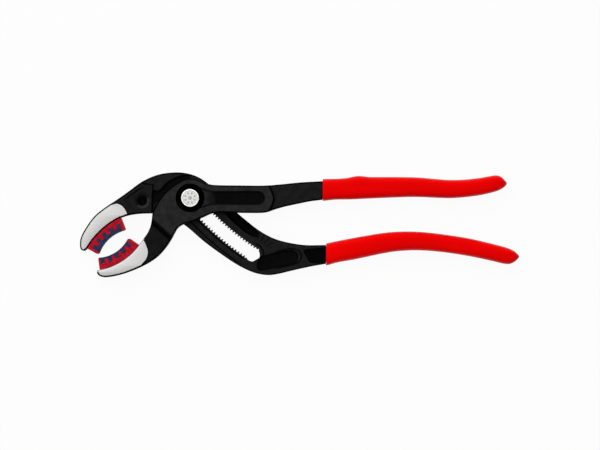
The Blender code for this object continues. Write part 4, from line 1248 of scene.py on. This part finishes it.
def make_grip(name, shares, body, node_name, with_bump):
    """A dipped grip with the blind hole that its tang fills."""
    size = sizes()
    stations = grip_stations(shares)
    fine = fine_stations(stations, GRIP_STEPS)
    if with_bump:
        place_x = BUMP_SHARE * size.handle_reach
        fine = [
            (x, top + size.bump * math.cos(min(abs(x - place_x) / BUMP_REACH, 1)
                                           * math.pi / 2) ** 2, bottom, half)
            for x, top, bottom, half in fine
        ]
    item = loft(name, fine)
    top, bottom = tang_edges(stations)
    gap = Vector((0, size.running_gap))
    end = Vector((size.running_gap, 0))
    ahead = Vector((OVERRUN, 0))
    roof = [point + gap for point in top]
    floor = [point - gap for point in bottom]
    hole = [roof[0] - ahead] + roof[:-1] + [roof[-1] + end, floor[0] + end] + floor[1:]
    hole += [floor[-1] - ahead]
    low = levels()["arm_inset"] - size.running_gap
    cut(item, slab(name + "_hole", hole, low, levels()["top"] - low))
    return finish_piece(item, body, [node_name], ["red vinyl"], SOFT_SHARP)


def peg(name, centre, seat_radius, angle, clearance):
    """A round peg that stands out of a seat, away from the centre of its arc."""
    item = cylinder(name, PEG_RADIUS + clearance, -OVERRUN / 2, PEG_LENGTH + clearance)
    foot = polar(centre, seat_radius, angle)
    turn = Matrix.Rotation(angle, 4, "Z") @ Matrix.Rotation(math.pi / 2, 4, "Y")
    item.matrix_world = Matrix.Translation((foot[0], foot[1], levels()["middle"])) @ turn
    return settle(item)


def pegs(name, centre, seat_radius, ends, shares, clearance=0):
    """The pegs along a seat, or with a clearance the cutters for their holes."""
    return [
        peg(f"{name}_{index}", centre, seat_radius, along(ends, share), clearance)
        for index, share in enumerate(shares)
    ]


def lever_outline(top_shares, bottom_shares, grip_shares, seat):
    """The whole outline of a lever: top, tang, bottom and the seat of its insert."""
    tang_top, tang_bottom = tang_edges(grip_stations(grip_shares))
    outline = smooth(places(top_shares)) + tang_top + tang_bottom
    return outline + smooth(places(bottom_shares)) + seat


def thin_away(head, region, depth, edge, body_outline, thin_edge):
    """Thin a lever beyond a line on both faces, with a fillet at the step and round edges."""
    top = levels()["top"]
    shift = edge + 5 * HAIR
    spine = region["line"]
    beyond = [point + region["away"] * shift for point in spine] + region["far"]
    cut(head, slab(head.name + "_beyond", beyond, -OVERRUN, top + OVERRUN))
    recess = spine + region["far"]
    cut(head, *both_faces(head.name + "_thin", recess, depth + HAIR, edge))
    join(head, slab(head.name + "_arm", body_outline, depth, top - depth, thin_edge, HAIR))


def beside(points, shift):
    """The middles of a line's segments, moved to its left, so that no cutter meets its corners."""
    run = []
    for point, after in zip(points, points[1:]):
        step = (after - point).normalized()
        run.append((point + after) / 2 + Vector((-step.y, step.x)) * shift)
    return run


def edge_coves(name, outline, ends, depth):
    """Two cutters that break an outline's sharp edges between the points nearest to two places."""
    first, last = (
        min(range(len(outline)), key=lambda index: (outline[index] - place(share)).length)
        for share in ends
    )
    run = beside(outline[first:last + 1], COVE_SHIFT)
    return grooves(name, run, COVE_RADIUS, COVE_DEPTH, depth, COVE_FADE)


def make_outer_lever():
    """The upper handle's lever: arm, box with its window, and lower jaw."""
    size = sizes()
    level = levels()
    top = level["top"]
    seat_centre, seat_ends = bow(LOWER_SEAT_SHARES, LOWER_SEAT, -1)
    seat = arc(seat_centre, LOWER_SEAT, *seat_ends)
    outline = lever_outline(OUTER_TOP_SHARES, OUTER_BOTTOM_SHARES, UPPER_GRIP_SHARES, seat)
    lever = slab("outer_lever_forging", outline, 0, top, size.box_edge)

    spine = smooth(places(BOSS_END_SHARES))
    far_x = size.handle_reach + OVERRUN
    region = {
        "line": spine,
        "away": Vector((1, 0)),
        "far": [Vector((far_x, spine[-1].y)), Vector((far_x, spine[0].y))],
    }
    thin_away(lever, region, level["arm_inset"], BOSS_FILLET, outline, ARM_EDGE)

    neck = smooth(places(OUTER_NECK_SHARES)) + places(OUTER_NECK_ROOT_SHARES)
    fillet = size.neck_step * OUTER_NECK_FILLET_SHARE
    cut(lever, *both_faces("outer_neck", neck, size.neck_step, fillet))
    line_start, line_end = places((OUTER_NECK_ROOT_SHARES[3], OUTER_NECK_ROOT_SHARES[4]))
    for name, ends in (("outer_neck_front_edge", OUTER_NECK_FRONT_EDGE),
                       ("outer_neck_rear_edge", OUTER_NECK_REAR_EDGE)):
        cut(lever, *edge_coves(name, outline, ends, size.neck_step))
    reach = (line_end - line_start).normalized() * VALLEY_OVERREACH
    cut(lever, *roll_offs("outer_valley", line_end + reach, line_start - reach, VALLEY_WIDTH,
                          VALLEY_DEPTH, VALLEY_NEAR, VALLEY_RISE))

    wall = smooth(places(WINDOW_ARM_SHARES))
    web = smooth(places(WINDOW_WEB_SHARES))
    window = wall + web + [Vector((web[-1].x, wall[0].y))]
    cut(lever, slab("box_window", window, size.plate, level["window"]))

    pocket = smooth(places(OUTER_POCKET_SHARES))
    ramp_start, ramp_end = places(POCKET_RAMP_SHARES)
    pocket_line = beside(smooth(places(OUTER_POCKET_SHARES[1:-1])), COVE_SHIFT / 2)
    cut(lever, *grooves("pocket_line", pocket_line, LINE_RADIUS, LINE_DEPTH, 0, OUTER_LINE_FADE))
    pressings = both_faces("outer_pocket", pocket, size.pocket, size.pocket * POCKET_FILLET_SHARE)
    for pressing, face, up in zip(pressings, (top, 0), (1, -1)):
        slope = [
            Vector((ramp_start.x - COLLAR_BOX[1].x, face - up * OVERRUN)),
            Vector((ramp_end.x, face - up * OVERRUN)),
            Vector((ramp_end.x, face - up * (size.pocket + HAIR))),
            Vector((ramp_start.x, face)),
            Vector((ramp_start.x - COLLAR_BOX[1].x, face)),
        ]
        wedge = slab(pressing.name + "_ramp", slope, -COLLAR_BOX[1].x, COLLAR_BOX[1].x)
        wedge.matrix_world = Matrix.Rotation(math.pi / 2, 4, "X")
        cut(lever, cut(pressing, settle(wedge)))

    gap = size.running_gap
    collar_radius = COLLAR_BOX[1].x + gap
    cut(
        lever,
        cylinder("button_bore", BUTTON_BOX[1].x + gap, level["middle"], top + OVERRUN),
        cylinder("collar_bore", collar_radius, COLLAR_BOX[0].z - gap, top + OVERRUN),
        cylinder("collar_lead", collar_radius, top - BORE_LEAD, top + BORE_LEAD, (0, 0),
                 collar_radius + 2 * BORE_LEAD),
        cylinder("bolt_bore", BOLT_FLANGE + gap, -OVERRUN, level["middle"]),
        cylinder("ring_groove", RING_GROOVE_RADIUS + gap, RING_BOX[0].z - gap,
                 RING_BOX[1].z + gap),
    )
    cut(lever, *pegs("lower_peg_hole", seat_centre, LOWER_SEAT, seat_ends, LOWER_PEG_SHARES, gap))

    neck_x = place(OUTER_NECK_SHARES[3]).x

    def choose(centre, normal):
        """The finish of a face: the jaw's side faces and its seat's edge are ground bright."""
        from_face = min(centre.z, top - centre.z)
        off_seat = math.hypot(centre.x - seat_centre.x, centre.y - seat_centre.y) - LOWER_SEAT
        on_edge = abs(off_seat) < size.box_edge and from_face < size.box_edge
        on_face = from_face < HAIR and abs(normal.z) > FLAT_LIMIT
        on_jaw = centre.x < neck_x and centre.y < place(OUTER_NECK_SHARES[0]).y
        return "polished steel" if on_jaw and (on_face or on_edge) else "outer steel"

    shade(lever)
    paint_faces(lever, ["outer steel", "polished steel"], choose)
    return finish_piece(lever, UPPER, ["outer_lever"], None)


def slot_cutters():
    """The slot's toothed layer with its blunt end, and the wider relief with its round end."""
    size = sizes()
    level = levels()
    floor = level["band_top"] - size.tooth_layer
    last = NOTCH_STEPS + SPARE_NOTCH_STEPS
    span = range(-SPARE_NOTCH_STEPS * 2, last * 2 + 1)
    inner = [slot_place(step / 2, -size.slot_half_width) for step in span]
    outer = [slot_place(step / 2, size.slot_half_width) for step in span]
    channel = slab("slot_channel", outer + inner[::-1], floor - OVERRUN,
                   level["band_top"] + OVERRUN)
    relief_span = [-SPARE_NOTCH_STEPS - NOTCH_OPENING_SHARE + step / 2
                   for step in range(2 * (last + SPARE_NOTCH_STEPS) + 2)]
    relief_line = [slot_place(step, size.relief) for step in relief_span]
    relief_line += [slot_place(step, -size.relief) for step in reversed(relief_span)]
    relief = slab("slot_relief", relief_line, level["band_bottom"] - OVERRUN, floor)
    mouth_line = [slot_place(NOTCH_STEPS + along_share, across * size.slot_half_width)
                  for along_share, across in SLOT_MOUTH_SHARES]
    mouth = slab("slot_mouth", mouth_line[::-1], floor - OVERRUN, level["band_top"] + OVERRUN)
    end = cylinder("slot_end", size.slot_end, -OVERRUN, floor,
                   slot_place(NOTCH_STEPS + SLOT_END_SHARE, 0))
    return channel, mouth, relief, end


def notch_row(side):
    """One row of notch cutters along the slot, fanned about the centre that it turns about."""
    size = sizes()
    level = levels()
    floor = level["band_top"] - size.tooth_layer
    radius = slot_radius()
    opening = NOTCH_OPENING_SHARE * size.notch_pitch / 2
    root = NOTCH_ROOT_SHARE * size.notch_pitch / 2
    edge = side * size.slot_half_width
    outline = [
        Vector((radius + edge - side * OVERRUN / 4, -opening)),
        Vector((radius + edge, -opening)),
        Vector((radius + edge + side * size.notch_depth, -root)),
        Vector((radius + edge + side * size.notch_depth, root)),
        Vector((radius + edge, opening)),
        Vector((radius + edge - side * OVERRUN / 4, opening)),
    ]
    unit = slab(f"notch_{'out' if side > 0 else 'in'}", outline, floor - OVERRUN,
                level["band_top"] + OVERRUN)
    step = size.notch_pitch / radius
    start = math.pi + math.atan2(SIZE_AXIS[1], SIZE_AXIS[0]) - SPARE_NOTCH_STEPS * step
    count = NOTCH_STEPS + 2 * SPARE_NOTCH_STEPS + 1
    return fan_out(unit, count, start, step, SIZE_AXIS, "inner steel")


def make_inner_lever():
    """The lower handle's lever: arm, slotted band through the box, and upper jaw."""
    size = sizes()
    level = levels()
    top = level["top"]
    face = level["band_bottom"]
    seat_centre, seat_ends = bow(UPPER_SEAT_SHARES, UPPER_SEAT, 1)
    seat = arc(seat_centre, UPPER_SEAT, *reversed(seat_ends))
    outline = lever_outline(INNER_TOP_SHARES, INNER_BOTTOM_SHARES, LOWER_GRIP_SHARES, seat)
    lever = slab("inner_lever_forging", outline, 0, top, size.forged_edge)

    band = smooth(places(INNER_BAND_SHARES))
    far_x = size.handle_reach + OVERRUN
    region = {
        "line": band,
        "away": Vector(BAND_AWAY),
        "far": [Vector((far_x, band[-1].y)), Vector((far_x, -size.head_height)),
                Vector((band[0].x, -size.head_height))],
    }
    thin_away(lever, region, face, BAND_FILLET, outline, BAND_EDGE)
    stations = grip_stations(LOWER_GRIP_SHARES)
    tang_top, tang_bottom = tang_edges(stations)
    front = stations[0][0] + size.running_gap
    tang = [point for point in tang_top + tang_bottom if point.x > front]
    inset = level["arm_inset"]
    join(lever, slab("inner_tang", tang, inset, top - inset, ARM_EDGE, HAIR))
    cut(lever, *slot_cutters())
    cut(lever, notch_row(1), notch_row(-1))

    neck = smooth(places(INNER_NECK_SHARES)) + places(INNER_NECK_ROOT_SHARES)
    fillet = size.neck_step * INNER_NECK_FILLET_SHARE
    cut(lever, *both_faces("inner_neck", neck, size.neck_step, fillet))
    cut(lever, *both_faces("inner_head", places(INNER_HEAD_SHARES), size.head_step, HEAD_FILLET))
    # A shallow strip sunk beside the box, which the inner steel darkens as the painted shadow of
    # the box.
    relief = smooth(places(BOX_SHADOW_RELIEF_SHARES)) + places(BOX_SHADOW_RELIEF_ROOT_SHARES)
    cut(lever, *both_faces("box_relief", relief, face + size.shadow_relief_step, SHADOW_RELIEF_FILLET))
    for name, ends, depth in (
        ("neck_top_edge", NECK_TOP_EDGE, size.neck_step),
        ("neck_low_edge", NECK_LOW_EDGE, size.neck_step),
        ("head_top_edge", HEAD_TOP_EDGE, size.head_step),
    ):
        cut(lever, *edge_coves(name, outline, ends, depth))

    pocket = smooth(places(INNER_POCKET_SHARES + INNER_POCKET_SHARES[:1]))[:-1]
    fillet = size.pocket * POCKET_FILLET_SHARE
    cut(lever, *both_faces("inner_pocket", pocket, face + size.pocket, fillet))
    rim = pocket[2:] + pocket[:1]
    cut(lever, *grooves("pocket_line", rim, LINE_RADIUS, LINE_DEPTH, face, INNER_LINE_FADE))
    corners = places(ARM_RECESS_SHARES + ARM_RECESS_SHARES[:1])
    recess = smooth(corners, RECESS_STEPS)[:-1]
    fillet = size.recess * RECESS_FILLET_SHARE
    cut(lever, *both_faces("arm_recess", recess, face + size.recess, fillet))

    valley = smooth(places(INNER_VALLEY_SHARES))
    cut(lever, *grooves("inner_valley", valley, BAND_VALLEY_RADIUS, BAND_VALLEY_DEPTH, face,
                        VALLEY_FADE))
    settings = [step / 2 for step in range(-2, 2 * NOTCH_STEPS + 3)]
    end_centre = slot_place(NOTCH_STEPS + SLOT_END_SHARE, 0)
    end_line = arc(end_centre, SLOT_END_LINE_RADIUS, *map(math.radians, SLOT_END_LINE_ANGLES),
                   SLOT_END_LINE_STEPS)
    for name, line, depth, below, fade in (
        ("panel_line", smooth(places(PANEL_LINE_SHARES)), PANEL_LINE_DEPTH, size.neck_step,
         PANEL_LINE_FADE),
        *((name, [slot_place(step, across) for step in settings], FINE_LINE_DEPTH, face,
           BAND_LINE_FADE) for name, across in BAND_LINES),
        ("slot_end_line", end_line, PANEL_LINE_DEPTH, face, SLOT_END_LINE_FADE),
        ("pocket_rim", smooth(places(POCKET_RIM_SHARES)), FINE_LINE_DEPTH, face,
         POCKET_RIM_FADE),
    ):
        cut(lever, *grooves(name, line, LINE_RADIUS, depth, below, fade))
    for index, height in enumerate((top - face + FLOW_LIFT, face - FLOW_LIFT)):
        ray = [Vector((FLOW_START + FLOW_STEP * step, 0)) for step in range(FLOW_STEPS)]
        flow = bar(f"flow_line_{index}", ray, LINE_RADIUS, [height] * FLOW_STEPS)
        cut(lever, fan_out(flow, FLOW_COUNT, *map(math.radians, FLOW_ANGLES), end_centre,
                           "inner steel"))

    neck_top = top - size.neck_step
    hole = place(DIMPLE_SHARE)
    cut(
        lever,
        cylinder("dimple_lead", DIMPLE_RADIUS, neck_top - DIMPLE_LEAD, neck_top + DIMPLE_LEAD,
                 hole, DIMPLE_RIM * 2 - DIMPLE_RADIUS),
        cylinder("dimple_cone", DIMPLE_FLOOR, neck_top - DIMPLE_DEPTH,
                 neck_top + DIMPLE_OVERRUN, hole, DIMPLE_MOUTH),
    )
    gap = size.running_gap
    cut(lever, *pegs("upper_peg_hole", seat_centre, UPPER_SEAT, seat_ends, UPPER_PEG_SHARES, gap))

    jaw_end = place(INNER_NECK_SHARES[0])

    def choose(centre, normal):
        """The finish of a face: bright on the jaw's side faces, and a painted highlight on one side
        of the dimple's rim.
        """
        spread = math.hypot(centre.x - hole.x, centre.y - hole.y)
        in_rim = DIMPLE_RADIUS < spread < DIMPLE_RIM and FLAT_LIMIT > abs(normal.z) > DIMPLE_LIT_TILT
        # Painted highlight on the side of the rim that faces the light.
        reach = (centre.x - hole.x) * DIMPLE_LIT_SIDE[0] + (centre.y - hole.y) * DIMPLE_LIT_SIDE[1]
        on_lit_side = reach > spread * DIMPLE_LIT_SHARE
        if in_rim and on_lit_side and centre.z > level["middle"]:
            return "ground steel"
        on_face = min(centre.z, top - centre.z) < HAIR and abs(normal.z) > FLAT_LIMIT
        return "polished steel" if on_face and centre.x < jaw_end.x + OVERRUN else "inner steel"

    shade(lever)
    paint_faces(lever, ["inner steel", "ground steel", "polished steel"], choose)
    return finish_piece(lever, LOWER, ["inner_lever"], None)


def key_profile(centre, radius, band, start, pitch, gap):
    """The keyed edge between lining and backing, from the first key's side to the last's."""
    run = []
    half = abs(pitch) * KEY_FOOT_SHARE / 2
    half_tip = abs(pitch) * KEY_TIP_SHARE / 2
    sign = math.copysign(1, pitch)
    swell = gap / (radius + band)
    key_depth = sizes().key_depth
    for index in range(KEY_COUNT):
        angle = start + pitch * index
        foot = radius + band + gap
        tip = radius + band + key_depth + gap
        corners = [
            polar(centre, foot, angle - sign * (half + swell)),
            polar(centre, tip, angle - sign * (half_tip + swell)),
            polar(centre, tip, angle + sign * (half_tip + swell)),
            polar(centre, foot, angle + sign * (half + swell)),
        ]
        run.append(corners[0])
        run += rounded(corners[1], corners[0], corners[2], KEY_ROUND, KEY_ROUND_STEPS)
        run += rounded(corners[2], corners[1], corners[3], KEY_ROUND, KEY_ROUND_STEPS)
        run.append(corners[3])
    return run


def make_insert(name, bulge, seat, face, band, keys, peg_shares, body):
    """A hard backing on its seat, and the soft lining keyed into its gripping face."""
    size = sizes()
    seat_radius = seat[1] - FIT
    seat_centre, seat_ends = bow(*seat, bulge)
    radius = face[1]
    centre, ends = bow(*face, bulge)
    start = along(ends[::-1], keys[0])
    pitch = (ends[0] - ends[1]) * keys[1]
    sign = math.copysign(1, pitch)
    side = abs(pitch) * KEY_FOOT_SHARE / 2
    swell = FIT / (radius + band)
    last = start + pitch * (KEY_COUNT - 1)
    lips = (start - sign * side, last + sign * side)
    bottom = INSERT_BOX[0].z
    top = INSERT_BOX[1].z

    back = arc(seat_centre, seat_radius, *seat_ends)
    near = polar(centre, radius, ends[1])
    far = polar(centre, radius, ends[0])
    near_lip = polar(centre, radius, lips[0] - sign * swell)
    far_lip = polar(centre, radius, lips[1] + sign * swell)
    outline = back + rounded(near, back[-1], near_lip, LIP_ROUND) + [near_lip]
    outline += key_profile(centre, radius, band, start, pitch, FIT)
    outline += [far_lip] + rounded(far, far_lip, back[0], LIP_ROUND)
    backing = slab(name + "_backing_moulding", outline, bottom, top, BACKING_EDGE)
    join(backing, *pegs(name + "_post", seat_centre, seat_radius, seat_ends, peg_shares))
    finish_piece(backing, body, [name + "_insert_backing"], ["red plastic"])

    face_line = arc(centre, radius, lips[1], lips[0], 4 * KEY_COUNT)
    soft = face_line + key_profile(centre, radius, band, start, pitch, 0)
    lining = slab(name + "_lining_moulding", soft, bottom, top, LINING_EDGE)
    step = (lips[1] - lips[0]) / size.scallops
    rib = cylinder(name + "_scallop", SCALLOP_RADIUS, bottom + SCALLOP_INSET,
                   top - SCALLOP_INSET, (radius - SCALLOP_DEPTH, 0))
    cut(lining, fan_out(rib, size.scallops, lips[0] + step / 2, step, centre, "blue lining"))
    finish_piece(lining, body, [name + "_insert_lining"], ["blue lining"])


def make_button():
    """The push button: bright rim, dished face with a generic ring of marks, and stem."""
    size = sizes()
    level = levels()
    radius = BUTTON_BOX[1].x
    top = BUTTON_BOX[1].z
    dish = top - BUTTON_DISH
    centre_top = dish + BUTTON_CENTRE_LIFT
    groove = dish - BUTTON_GROOVE_DEPTH
    bore = BOLT_PIN + size.running_gap
    bore_end = top - BUTTON_BORE_DEPTH
    head_floor = level["window"] + size.tooth_layer + BUTTON_CLEARANCE
    heights = (centre_top, centre_top, dish, dish, groove, groove, top - BUTTON_RIM_DROPS[0], top,
               top, top - BUTTON_RIM_DROPS[1], top - BUTTON_RIM_DROPS[2])
    radii = (0, *BUTTON_CENTRE, *BUTTON_GROOVE, *BUTTON_RIM, radius)
    profile = (
        *zip(radii, heights), (radius, head_floor), (BUTTON_STEM, head_floor),
        (BUTTON_STEM, level["window"]), (bore, level["window"]), (bore, bore_end), (0, bore_end),
    )
    button = turned("button_turning", profile)
    near, far = MARK_SPAN
    half_near, half_far = MARK_HALF_WIDTHS
    corners = ((near, -half_near), (far, -half_far), (far, half_far), (near, half_near))
    mark = slab("button_mark", corners, dish - MARK_ROOT, dish + MARK_LIFT)
    join(button, fan_out(mark, MARK_COUNT, math.pi / MARK_COUNT, math.tau / MARK_COUNT, (0.0, 0.0),
                         "nickel"))
    shade(button, BUTTON_SHARP)

    def choose(centre, normal):
        """The finish of a face: a bright rim, a plain face, dull marks and centre, and the groove
        ring darker as painted shade.
        """
        spread = math.hypot(centre.x, centre.y)
        if spread > BUTTON_RIM_START:
            return "bright nickel"
        raised = centre.z > dish + HAIR
        # The groove ring's darker tone is painted shade; the marks and centre are duller nickel.
        return "dull nickel" if raised or spread > BUTTON_GROOVE[0] else "nickel"

    paint_faces(button, ["nickel", "bright nickel", "dull nickel"], choose)
    return finish_piece(button, BUTTON, ["push_button"], None, BUTTON_SHARP)


def make_collar():
    """The dark guide collar around the button, with a raised ring between two grooves."""
    bore = BUTTON_BOX[1].x + sizes().running_gap
    radius = COLLAR_BOX[1].x
    bottom = COLLAR_BOX[0].z
    top = COLLAR_BOX[1].z
    profile = (
        (bore, bottom), (bore, top - COLLAR_GROOVE),
        *((spot, top - drop) for spot, drop in COLLAR_RING),
        (radius - COLLAR_BEVEL, top - COLLAR_STEP), (radius, top - COLLAR_GROOVE),
        (radius, bottom),
    )
    collar = turned("collar_turning", profile, closed=True)
    return finish_piece(collar, UPPER, ["button_collar"], ["black collar"],
                        BUTTON_SHARP)


def make_joint():
    """The parts inside the box: bolt, retaining ring, catch spring and toothed catch."""
    size = sizes()
    level = levels()
    flange_bottom = size.plate - BOLT_FLANGE_THICKNESS
    top = BOLT_BOX[1].z
    profile = (
        (0, top), (BOLT_PIN - BOLT_BEVEL, top), (BOLT_PIN, top - BOLT_BEVEL),
        (BOLT_PIN, BOLT_FLOOR), (BOLT_POCKET, BOLT_FLOOR), (BOLT_POCKET, size.plate),
        (BOLT_FLANGE, size.plate), (BOLT_FLANGE, flange_bottom), (BOLT_END, flange_bottom),
        (BOLT_END, BOLT_BEVEL), (BOLT_END - BOLT_BEVEL, 0), *BOLT_END_GROOVE, (0, 0),
    )
    bolt = turned("bolt_turning", profile)
    half = GUIDE_LENGTH / size.notch_pitch / 2
    reach = size.relief - size.running_gap
    corners = ((-half, -reach), (half, -reach), (half, reach), (-half, reach))
    guide = slab("bolt_guide", [slot_place(*corner) for corner in corners],
                 size.plate - OVERRUN / 4, size.plate + GUIDE_HEIGHT)
    cut(guide, cylinder("guide_bore", BOLT_POCKET + GUIDE_CLEARANCE, 0, level["top"]))
    join(bolt, guide)
    finish_piece(bolt, CARRIAGE, ["joint_bolt"], ["turned steel"], TURNED_SHARP)

    outer = RING_BOX[1].y
    low, high = RING_BOX[0].z, RING_BOX[1].z
    ring = cylinder("ring_pressing", outer, low, high)
    gap = ((0, -RING_HALF_GAP), (outer + OVERRUN, -RING_HALF_GAP),
           (outer + OVERRUN, RING_HALF_GAP), (0, RING_HALF_GAP))
    cut(
        ring,
        cylinder("ring_hole", outer - RING_WIDTH, low - OVERRUN, high + OVERRUN),
        slab("ring_gap", gap, low - OVERRUN, high + OVERRUN),
    )
    finish_piece(ring, UPPER, ["retaining_ring"], ["spring steel"], TURNED_SHARP)

    coil = link("spring_winding", bpy.data.meshes.new("spring_winding"))
    wire = size.spring_wire / 2
    radius = (COIL_DIAMETER - size.spring_wire) / 2
    foot = SPRING_BOX[0].z + wire
    grow(coil, coil_tree(), {
        "Turns": size.spring_turns, "Height": SPRING_BOX[1].z - wire - foot, "Radius": radius,
        "Wire": wire, "Foot": (0.0, 0.0, foot), "Material": material_named("spring steel"),
    })
    finish_piece(coil, CARRIAGE, ["catch_spring"], ["spring steel"], SOFT_SHARP)
    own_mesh(coil)

    catch = FRAME["nodes"]["catch_block"]
    catch.data.materials.clear()
    catch.data.materials.append(material_named("nickel"))


def area_lamp(name, place_at, size, power):
    """A square lamp that looks at the tool."""
    data = bpy.data.lights.new(name, "AREA")
    data.size = size
    data.energy = power
    lamp = link(name, data)
    lamp.location = place_at
    lamp.visible_camera = False
    target = (CAD_BOX[0] + CAD_BOX[1]) / 2
    lamp.rotation_euler = (target - lamp.location).to_track_quat("-Z", "Y").to_euler()
    return lamp


def make_floor():
    """A pale floor that shows as white and keeps the tool's shadow."""
    mesh = bpy.data.meshes.new("floor")
    corners = [(across * FLOOR_REACH, up * FLOOR_REACH, -HAIR)
               for across, up in ((-1, -1), (1, -1), (1, 1), (-1, 1))]
    mesh.from_pydata(corners, [], [(0, 1, 2, 3)])
    floor = link("floor", mesh)
    colour = tuple(finishes().floor)
    material, tree, shader = new_material("pale floor", colour, roughness=0.9, specular=0.0)
    rays = node(tree, "ShaderNodeLightPath").outputs
    seen = maths(tree, "MAXIMUM", rays["Is Camera Ray"], rays["Is Glossy Ray"])
    shown = maths(tree, "MAXIMUM", seen, rays["Is Transmission Ray"])
    glow = node(tree, "ShaderNodeEmission", Color=(1, 1, 1, 1), Strength=1.0)
    mix = node(tree, "ShaderNodeMixShader")
    mixed = (maths(tree, "MULTIPLY", shown, FLOOR_GLOW), shader.outputs[0], glow.outputs[0])
    for socket, value in zip(mix.inputs, mixed):
        feed(tree, socket, value)
    tree.links.new(mix.outputs[0], tree.nodes["Material Output"].inputs["Surface"])
    mesh.materials.append(material)


def make_world():
    """A soft room: a white horizon, darker walls and a soft light overhead."""
    world = bpy.data.worlds.new("studio")
    world.use_nodes = True
    tree = world.node_tree
    back = tree.nodes["Background"]
    way = node(tree, "ShaderNodeTexCoord")
    parts = node(tree, "ShaderNodeSeparateXYZ", Vector=way.outputs["Generated"])
    tones = [(height, (tone,) * 3) for height, tone in ROOM_TONES]
    light = colour_scale(tree, parts.outputs["Z"], tones)
    tree.links.new(light, back.inputs["Color"])
    bpy.context.scene.world = world


def make_camera():
    """A long lens straight above the tool, framed as the photograph is."""
    data = bpy.data.cameras.new("camera")
    data.lens = CAMERA_LENS
    data.clip_end = CAMERA_RANGE
    camera = link("camera", data)
    distance = FRAME_WIDTH * data.lens / data.sensor_width
    camera.location = (*CAMERA_CENTRE, LEVER_BOX[1].z * CAMERA_LEVEL_SHARE + distance)
    bpy.context.scene.camera = camera


class PLIERS_OT_levers(bpy.types.Operator):
    """Build both forged levers"""

    bl_idname = "pliers.levers"
    bl_label = "Build levers"

    def execute(self, context):
        """Build the outer and the inner lever."""
        make_outer_lever()
        make_inner_lever()
        return {"FINISHED"}


class PLIERS_OT_grips(bpy.types.Operator):
    """Build both dipped grips"""

    bl_idname = "pliers.grips"
    bl_label = "Build grips"

    def execute(self, context):
        """Build the upper and the lower grip."""
        make_grip("upper_grip_dip", UPPER_GRIP_SHARES, UPPER, "upper_handle_grip", True)
        make_grip("lower_grip_dip", LOWER_GRIP_SHARES, LOWER, "lower_handle_grip", False)
        return {"FINISHED"}


class PLIERS_OT_inserts(bpy.types.Operator):
    """Build the soft jaw inserts"""

    bl_idname = "pliers.inserts"
    bl_label = "Build inserts"

    def execute(self, context):
        """Build the upper and the lower insert."""
        size = sizes()
        make_insert("upper", 1, (UPPER_SEAT_SHARES, UPPER_SEAT),
                    (UPPER_GRIP_END_SHARES, UPPER_FACE), size.upper_lining, UPPER_KEY_SHARES,
                    UPPER_PEG_SHARES, LOWER)
        make_insert("lower", -1, (LOWER_SEAT_SHARES, LOWER_SEAT),
                    (LOWER_GRIP_END_SHARES, LOWER_FACE), size.lower_lining, LOWER_KEY_SHARES,
                    LOWER_PEG_SHARES, UPPER)
        return {"FINISHED"}


class PLIERS_OT_button(bpy.types.Operator):
    """Build the push button and its collar"""

    bl_idname = "pliers.button"
    bl_label = "Build button"

    def execute(self, context):
        """Build the button and the collar around it."""
        make_button()
        make_collar()
        return {"FINISHED"}


class PLIERS_OT_joint(bpy.types.Operator):
    """Build the parts inside the joint"""

    bl_idname = "pliers.joint"
    bl_label = "Build joint"

    def execute(self, context):
        """Build the bolt, ring, spring and catch."""
        make_joint()
        return {"FINISHED"}


class PLIERS_OT_stage(bpy.types.Operator):
    """Set the floor, light and camera"""

    bl_idname = "pliers.stage"
    bl_label = "Set stage"

    def execute(self, context):
        """Make the floor, the world, the lamps and the camera."""
        make_floor()
        make_world()
        for lamp in LAMPS:
            area_lamp(*lamp)
        make_camera()
        context.scene.view_settings.view_transform = "Standard"
        return {"FINISHED"}


OPERATORS = (
    PLIERS_OT_levers, PLIERS_OT_grips, PLIERS_OT_inserts, PLIERS_OT_button, PLIERS_OT_joint,
    PLIERS_OT_stage,
)


class PLIERS_PT_panel(bpy.types.Panel):
    """Panel with the pliers' pieces, sizes and colours"""

    bl_idname = "PLIERS_PT_panel"
    bl_label = "Water Pump Pliers"
    bl_space_type = "VIEW_3D"
    bl_region_type = "UI"
    bl_category = "Pliers"

    def draw(self, context):
        """List the operators, then the sizes and the colours."""
        for operator in OPERATORS:
            self.layout.operator(operator.bl_idname)
        for group in (context.scene.pliers_sizes, context.scene.pliers_finishes):
            column = self.layout.column()
            for name in group.__annotations__:
                column.prop(group, name)


CLASSES = (PliersSizes, PliersFinishes, *OPERATORS, PLIERS_PT_panel)


def register():
    """Register the classes and the scene's properties."""
    for item in CLASSES:
        bpy.utils.register_class(item)
    bpy.types.Scene.pliers_sizes = PointerProperty(type=PliersSizes)
    bpy.types.Scene.pliers_finishes = PointerProperty(type=PliersFinishes)


def unregister():
    """Take the scene's properties and the classes away."""
    del bpy.types.Scene.pliers_finishes
    del bpy.types.Scene.pliers_sizes
    for item in reversed(CLASSES):
        bpy.utils.unregister_class(item)


def main():
    """Register the classes, then build every piece and the stage."""
    register()
    for operator in OPERATORS:
        group, name = operator.bl_idname.split(".")
        getattr(getattr(bpy.ops, group), name)()


if __name__ == "__main__":
    main()
